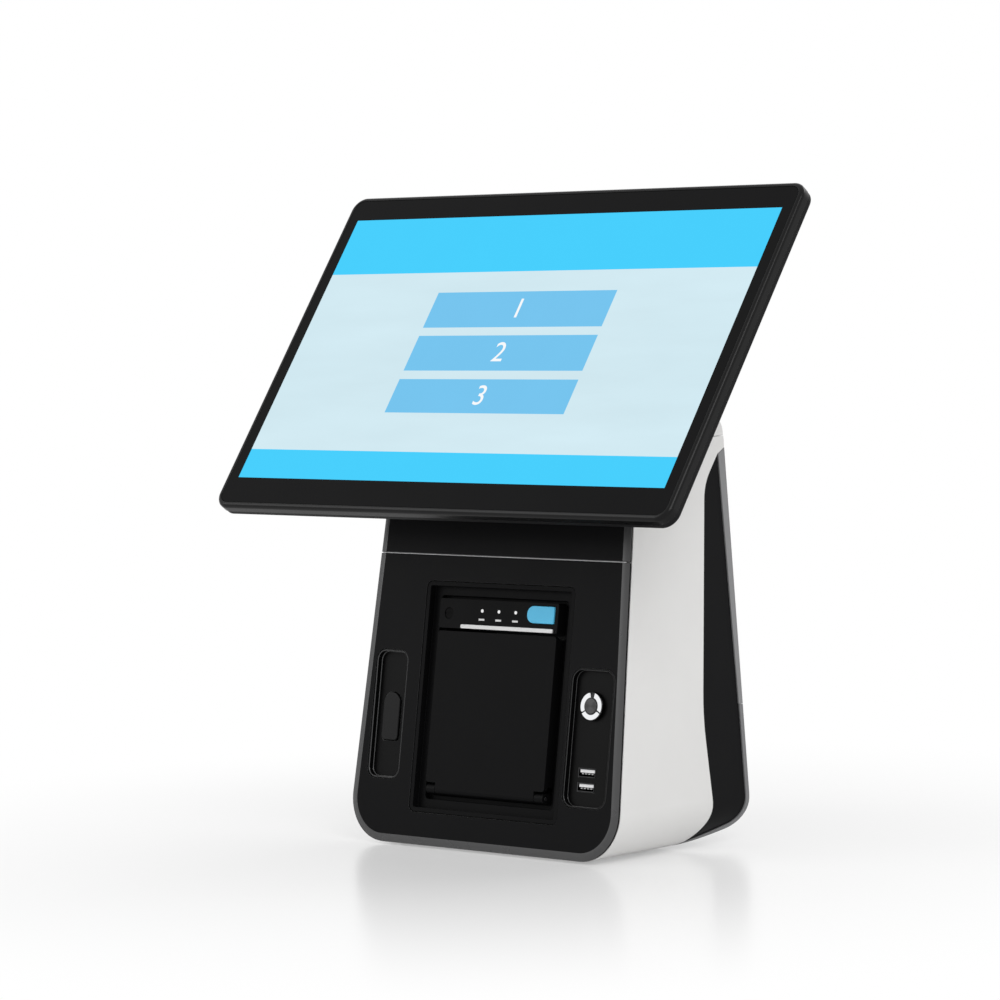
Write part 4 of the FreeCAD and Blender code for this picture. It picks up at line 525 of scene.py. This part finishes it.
turn_rings(painted_dark_turned_steel, front_place(BUTTON_ACROSS, BUTTON_HIGH, CAP_FACE_OUT))
softened("power_button_cap", "turned_button_cap", painted_dark_turned_steel, "power_key", radius=0.25, segments=3)

# Stepped frame round the panel printer: one moulding in satin black, seated
# in the front panel's middle opening.
printer_black = finish("printer_black", (0.004, 0.004, 0.0043), 0.45, grain=2200, grain_depth=0.02,
                       spread=0.06, shine=0.05)
softened("printer_frame", "printer_stepped_frame", printer_black, "base_unit", radius=0.4)

# Printer chassis and door: two mouldings in the frame's black. A thin flange
# runs back from each side of the door and closes its gap to the frame.
FLANGE_PLATE = 1.4
FLANGE_ACROSS = 47.1
FLANGE_FOOT = 43.0
FLANGE_TOP = 131.5
FLANGE_DEEP = 7.5
FLANGE_EDGE = 0.3
DOOR_BACK = -4.3
softened("printer_chassis", "printer_chassis_moulding", printer_black, "base_unit", radius=0.3)
softened("printer_door", "printer_door_moulding", printer_black, "door", radius=0.4)
for side, flange_name in ((-1, "door_flange_left"), (1, "door_flange_right")):
    flange = broken_bar(FLANGE_PLATE, FLANGE_TOP - FLANGE_FOOT, FLANGE_DEEP, FLANGE_EDGE, segments=2)
    flange_middle = front_place(side * FLANGE_ACROSS, (FLANGE_TOP + FLANGE_FOOT) / 2,
                                DOOR_BACK - FLANGE_DEEP / 2)
    set_down(flange, flange_name, FRONT_TURN, flange_middle, "door", printer_black)

# Door's hinge pin and the platen on its arms: ground steel rods, a rubber
# roller, and moulded gears that hand the feed motor's turning on to the roller.
roller_rubber = finish("roller_rubber", (0.02, 0.02, 0.022), 0.7, grain=3000, spread=0.08)
gear_black = finish("gear_black", (0.012, 0.012, 0.0125), 0.5, grain=1500, spread=0.05, shine=0.2)
dress("door_hinge_pin", plain_steel)
dress("platen_shaft", plain_steel)
dress("platen_roller", roller_rubber)
for gear in ("platen_gear", "idler_gear", "motor_pinion"):
    dress(gear, gear_black)

# Feed motor on its punched steel plate, the ceramic print head on its bracket,
# and the printer's green control board, all fixed to the chassis.
dark_steel = finish("dark_steel", (0.02, 0.02, 0.021), 0.45, metallic=0.7, grain=900, spread=0.08,
                    shine=0.2)
head_ceramic = finish("head_ceramic", (0.06, 0.06, 0.058), 0.35, spread=0.04, shine=0.3)
dress("feed_motor", plain_steel)
dress("gear_plate", dark_steel)
dress("thermal_head", head_ceramic)
dress("head_bracket", dark_steel)
dress("printer_board", board_green)

# Printer's top cover: a black moulded plate with a white tear bar along its
# foot, a slotted screw, three lights and a blue release button. A small green
# board behind the plate carries the lights and the button's switch.
bar_white = finish("bar_white", (0.86, 0.86, 0.86), 0.34, grain=1600, grain_depth=0.005, spread=0.03)
light_white = finish("light_white", (0.9, 0.9, 0.9), 0.3, grain=1600, grain_depth=0.0, spread=0.02,
                     glow=0.85)
release_blue = finish("release_blue", (0.11, 0.6, 0.93), 0.32, grain=1800, grain_depth=0.005,
                      spread=0.02, shine=0.3)
screw_black = finish("screw_black", (0.0015, 0.0015, 0.0016), 0.5, grain=1500, spread=0.08, shine=0.05)
softened("printer_top_cover", "printer_cover_plate", printer_black, "base_unit", radius=0.3)
softened("tear_bar", "white_tear_bar", bar_white, "base_unit", radius=0.2)
softened("release_button", "blue_release_button", release_blue, "release_key", radius=0.3)
dress("status_lights", light_white)
dress("status_board", board_green)
dress("cover_screw", screw_black)

# Printed marks on the cover: a short pale bar of ink under each light, with
# nothing else in the place of the print.
COVER_FACE = -1.45
MARK_ACROSS = 4.6
MARK_UP = 1.2
MARK_THICK = 0.12
MARK_EDGE = 0.03
MARK_PITCH = 13.6
FIRST_MARK_ACROSS = -13.2
MARKS_HIGH = 140.6
mark_grey = finish("mark_grey", (0.8, 0.8, 0.8), 0.5, grain=1500, grain_depth=0.0, spread=0.03)
for number in range(3):
    mark_place = front_place(FIRST_MARK_ACROSS + MARK_PITCH * number, MARKS_HIGH, COVER_FACE)
    set_down(broken_bar(MARK_ACROSS, MARK_UP, MARK_THICK, MARK_EDGE), f"light_mark_{number + 1}",
             FRONT_TURN, mark_place, "base_unit", mark_grey)

# Paper roll: white thermal paper wound on a brown card core, loose in the
# chassis's cradle.
paper_white = finish("paper_white", (0.82, 0.81, 0.79), 0.75, grain=900, spread=0.03)
core_brown = finish("core_brown", (0.35, 0.24, 0.14), 0.8, grain=900, spread=0.08)
dress("paper_roll", paper_white)
dress("paper_core", core_brown)

# Inner steelwork of bent sheet, with the main board on the tray's studs and a
# finned aluminium heat sink on the board.
sink_metal = finish("sink_metal", (0.62, 0.63, 0.64), 0.35, metallic=1.0, spread=0.05)
for steel_part in ("base_plate", "side_frame_left", "side_frame_right", "board_tray", "foot_screws"):
    dress(steel_part, plain_steel)
dress("main_board", board_green)
dress("heat_sink", sink_metal)

# Four feet of soft black rubber under the case, each held by a screw through
# its middle.
foot_rubber = finish("foot_rubber", (0.015, 0.015, 0.015), 0.8, grain=1800, spread=0.1)
dress("rubber_feet", foot_rubber)

# Tilt hinge: ears and arms of black sheet steel on a plain steel shaft, with
# washers and nuts at its ends, and four screws into the display's back.
hinge_black = finish("hinge_black", (0.018, 0.018, 0.019), 0.4, grain=1500, spread=0.08)
dress("hinge_plate", hinge_black)
dress("display_bracket", hinge_black)
dress("tilt_shaft", plain_steel)
dress("tilt_fasteners", plain_steel)
dress("bracket_screws", plain_steel)

# Display: a moulded back cover over the driver board and the steel-backed
# panel, closed in front by a thin bezel ring and a cover glass.
back_black = finish("back_black", (0.006, 0.006, 0.0064), 0.5, grain=1900, grain_depth=0.03,
                    spread=0.06, shine=0.1)
ring_black = finish("ring_black", (0.004, 0.004, 0.0042), 0.22, grain=2400, grain_depth=0.006,
                    spread=0.05, shine=0.16)
glass_black = finish("glass_black", (0.005, 0.005, 0.0053), 0.15, grain=60, grain_depth=0.0,
                     spread=0.06, shine=0.05)
softened("display_back", "display_back_cover", back_black, "display_head", radius=0.5)
softened("bezel_ring", "display_bezel_ring", ring_black, "display_head", radius=0.3)
dress("driver_board", board_green)
dress("lcd_panel", plain_steel)
dress("cover_glass", glass_black)

# Picture on the lit panel: a cyan band at its head and foot, a pale field and
# three blue bars. It is a thin film that lies just over the glass.
DISPLAY_LEAN = math.radians(35.7)
DISPLAY_TURN = math.pi / 2 - DISPLAY_LEAN
DISPLAY_BEHIND_FOOT = 34.4
DISPLAY_HIGH = 303.5
SCREEN_HALF_WIDE = 172.1
SCREEN_HALF_HIGH = 96.8
HEAD_BAND_FOOT = 55.0
FOOT_BAND_TOP = -76.0
BAR_HALF_WIDE = 72.5
BARS = ((14.0, 40.0), (-17.5, 8.0), (-48.0, -23.7))
PICTURE_OUT = -0.24
FILM_THICK = 0.03
CYAN_ZONE, PALE_ZONE, BAR_ZONE = 0, 1, 2


def screen_ink(name, colour, spread, streak=(1, 1, 1), cloud=35.0):
    """A lit colour of the picture, which has no grain and hardly any gloss of its own."""
    return finish(name, colour, 0.2, grain=60, grain_depth=0.0, spread=spread, streak=streak,
                  cloud=cloud, shine=0.02, glow=0.97)


def display_place(across, up, out):
    """A point in the leaning display's own frame, in millimetres."""
    back = DISPLAY_BEHIND_FOOT + up * math.sin(DISPLAY_LEAN) - out * math.cos(DISPLAY_LEAN)
    high = DISPLAY_HIGH + up * math.cos(DISPLAY_LEAN) + out * math.sin(DISPLAY_LEAN)
    return Vector((across * MM, FOOT_Y + back * MM, high * MM))


screen_cyan = screen_ink("screen_cyan", (0.053, 0.631, 1.0), 0.01)
screen_pale = screen_ink("screen_pale", (0.65, 0.83, 0.9), 0.09, streak=(0.5, 2.2, 2.2), cloud=14.0)
screen_bar = screen_ink("screen_bar", (0.174, 0.558, 0.871), 0.02)
bpy.ops.object.select_all(action="DESELECT")
bpy.ops.mesh.primitive_plane_add(size=2, location=(0, 0, 0))
picture = bpy.context.active_object
picture.scale = (SCREEN_HALF_WIDE * MM, SCREEN_HALF_HIGH * MM, 1)
bpy.ops.object.transform_apply(location=False, rotation=False, scale=True)
bpy.ops.object.mode_set(mode="EDIT")
for cut in (-BAR_HALF_WIDE, BAR_HALF_WIDE):
    bpy.ops.mesh.select_all(action="SELECT")
    bpy.ops.mesh.bisect(plane_co=(cut * MM, 0, 0), plane_no=(1, 0, 0))
for cut in (HEAD_BAND_FOOT, FOOT_BAND_TOP, *(edge for bar in BARS for edge in bar)):
    bpy.ops.mesh.select_all(action="SELECT")
    bpy.ops.mesh.bisect(plane_co=(0, cut * MM, 0), plane_no=(0, 1, 0))
bpy.ops.object.mode_set(mode="OBJECT")
film = picture.modifiers.new("film_thickness", "SOLIDIFY")
film.thickness = FILM_THICK * MM
film.offset = -1
bpy.ops.object.modifier_apply(modifier=film.name)
zones = []
for face in picture.data.polygons:
    up = face.center.y / MM
    if up > HEAD_BAND_FOOT or up < FOOT_BAND_TOP:
        zones.append(CYAN_ZONE)
    elif abs(face.center.x) < BAR_HALF_WIDE * MM and any(low < up < high for low, high in BARS):
        zones.append(BAR_ZONE)
    else:
        zones.append(PALE_ZONE)
set_down(picture, "screen_picture", DISPLAY_TURN, display_place(0, 0, PICTURE_OUT), "display_head",
         screen_cyan)
picture.data.materials.append(screen_pale)
picture.data.materials.append(screen_bar)
for face, zone in zip(picture.data.polygons, zones):
    face.material_index = zone

# Plain numerals on the picture's three bars, raised a hair so that they have
# thickness, in place of the words that such a screen shows.
NUMERAL_SIZE = 20
NUMERAL_RAISE = 0.012
NUMERAL_OUT = PICTURE_OUT + 0.03
screen_white = screen_ink("screen_white", (0.95, 0.97, 0.98), 0.01)
for number, (low, high) in enumerate(BARS):
    bpy.ops.object.select_all(action="DESELECT")
    bpy.ops.object.text_add(location=(0, 0, 0))
    numeral = bpy.context.active_object
    numeral.data.body = str(number + 1)
    numeral.data.size = NUMERAL_SIZE * MM
    numeral.data.extrude = NUMERAL_RAISE * MM
    numeral.data.align_x = "CENTER"
    numeral.data.align_y = "CENTER"
    bpy.ops.object.convert(target="MESH")
    set_down(numeral, f"screen_number_{number + 1}", DISPLAY_TURN,
             display_place(0, (low + high) / 2, NUMERAL_OUT), "display_head", screen_white)
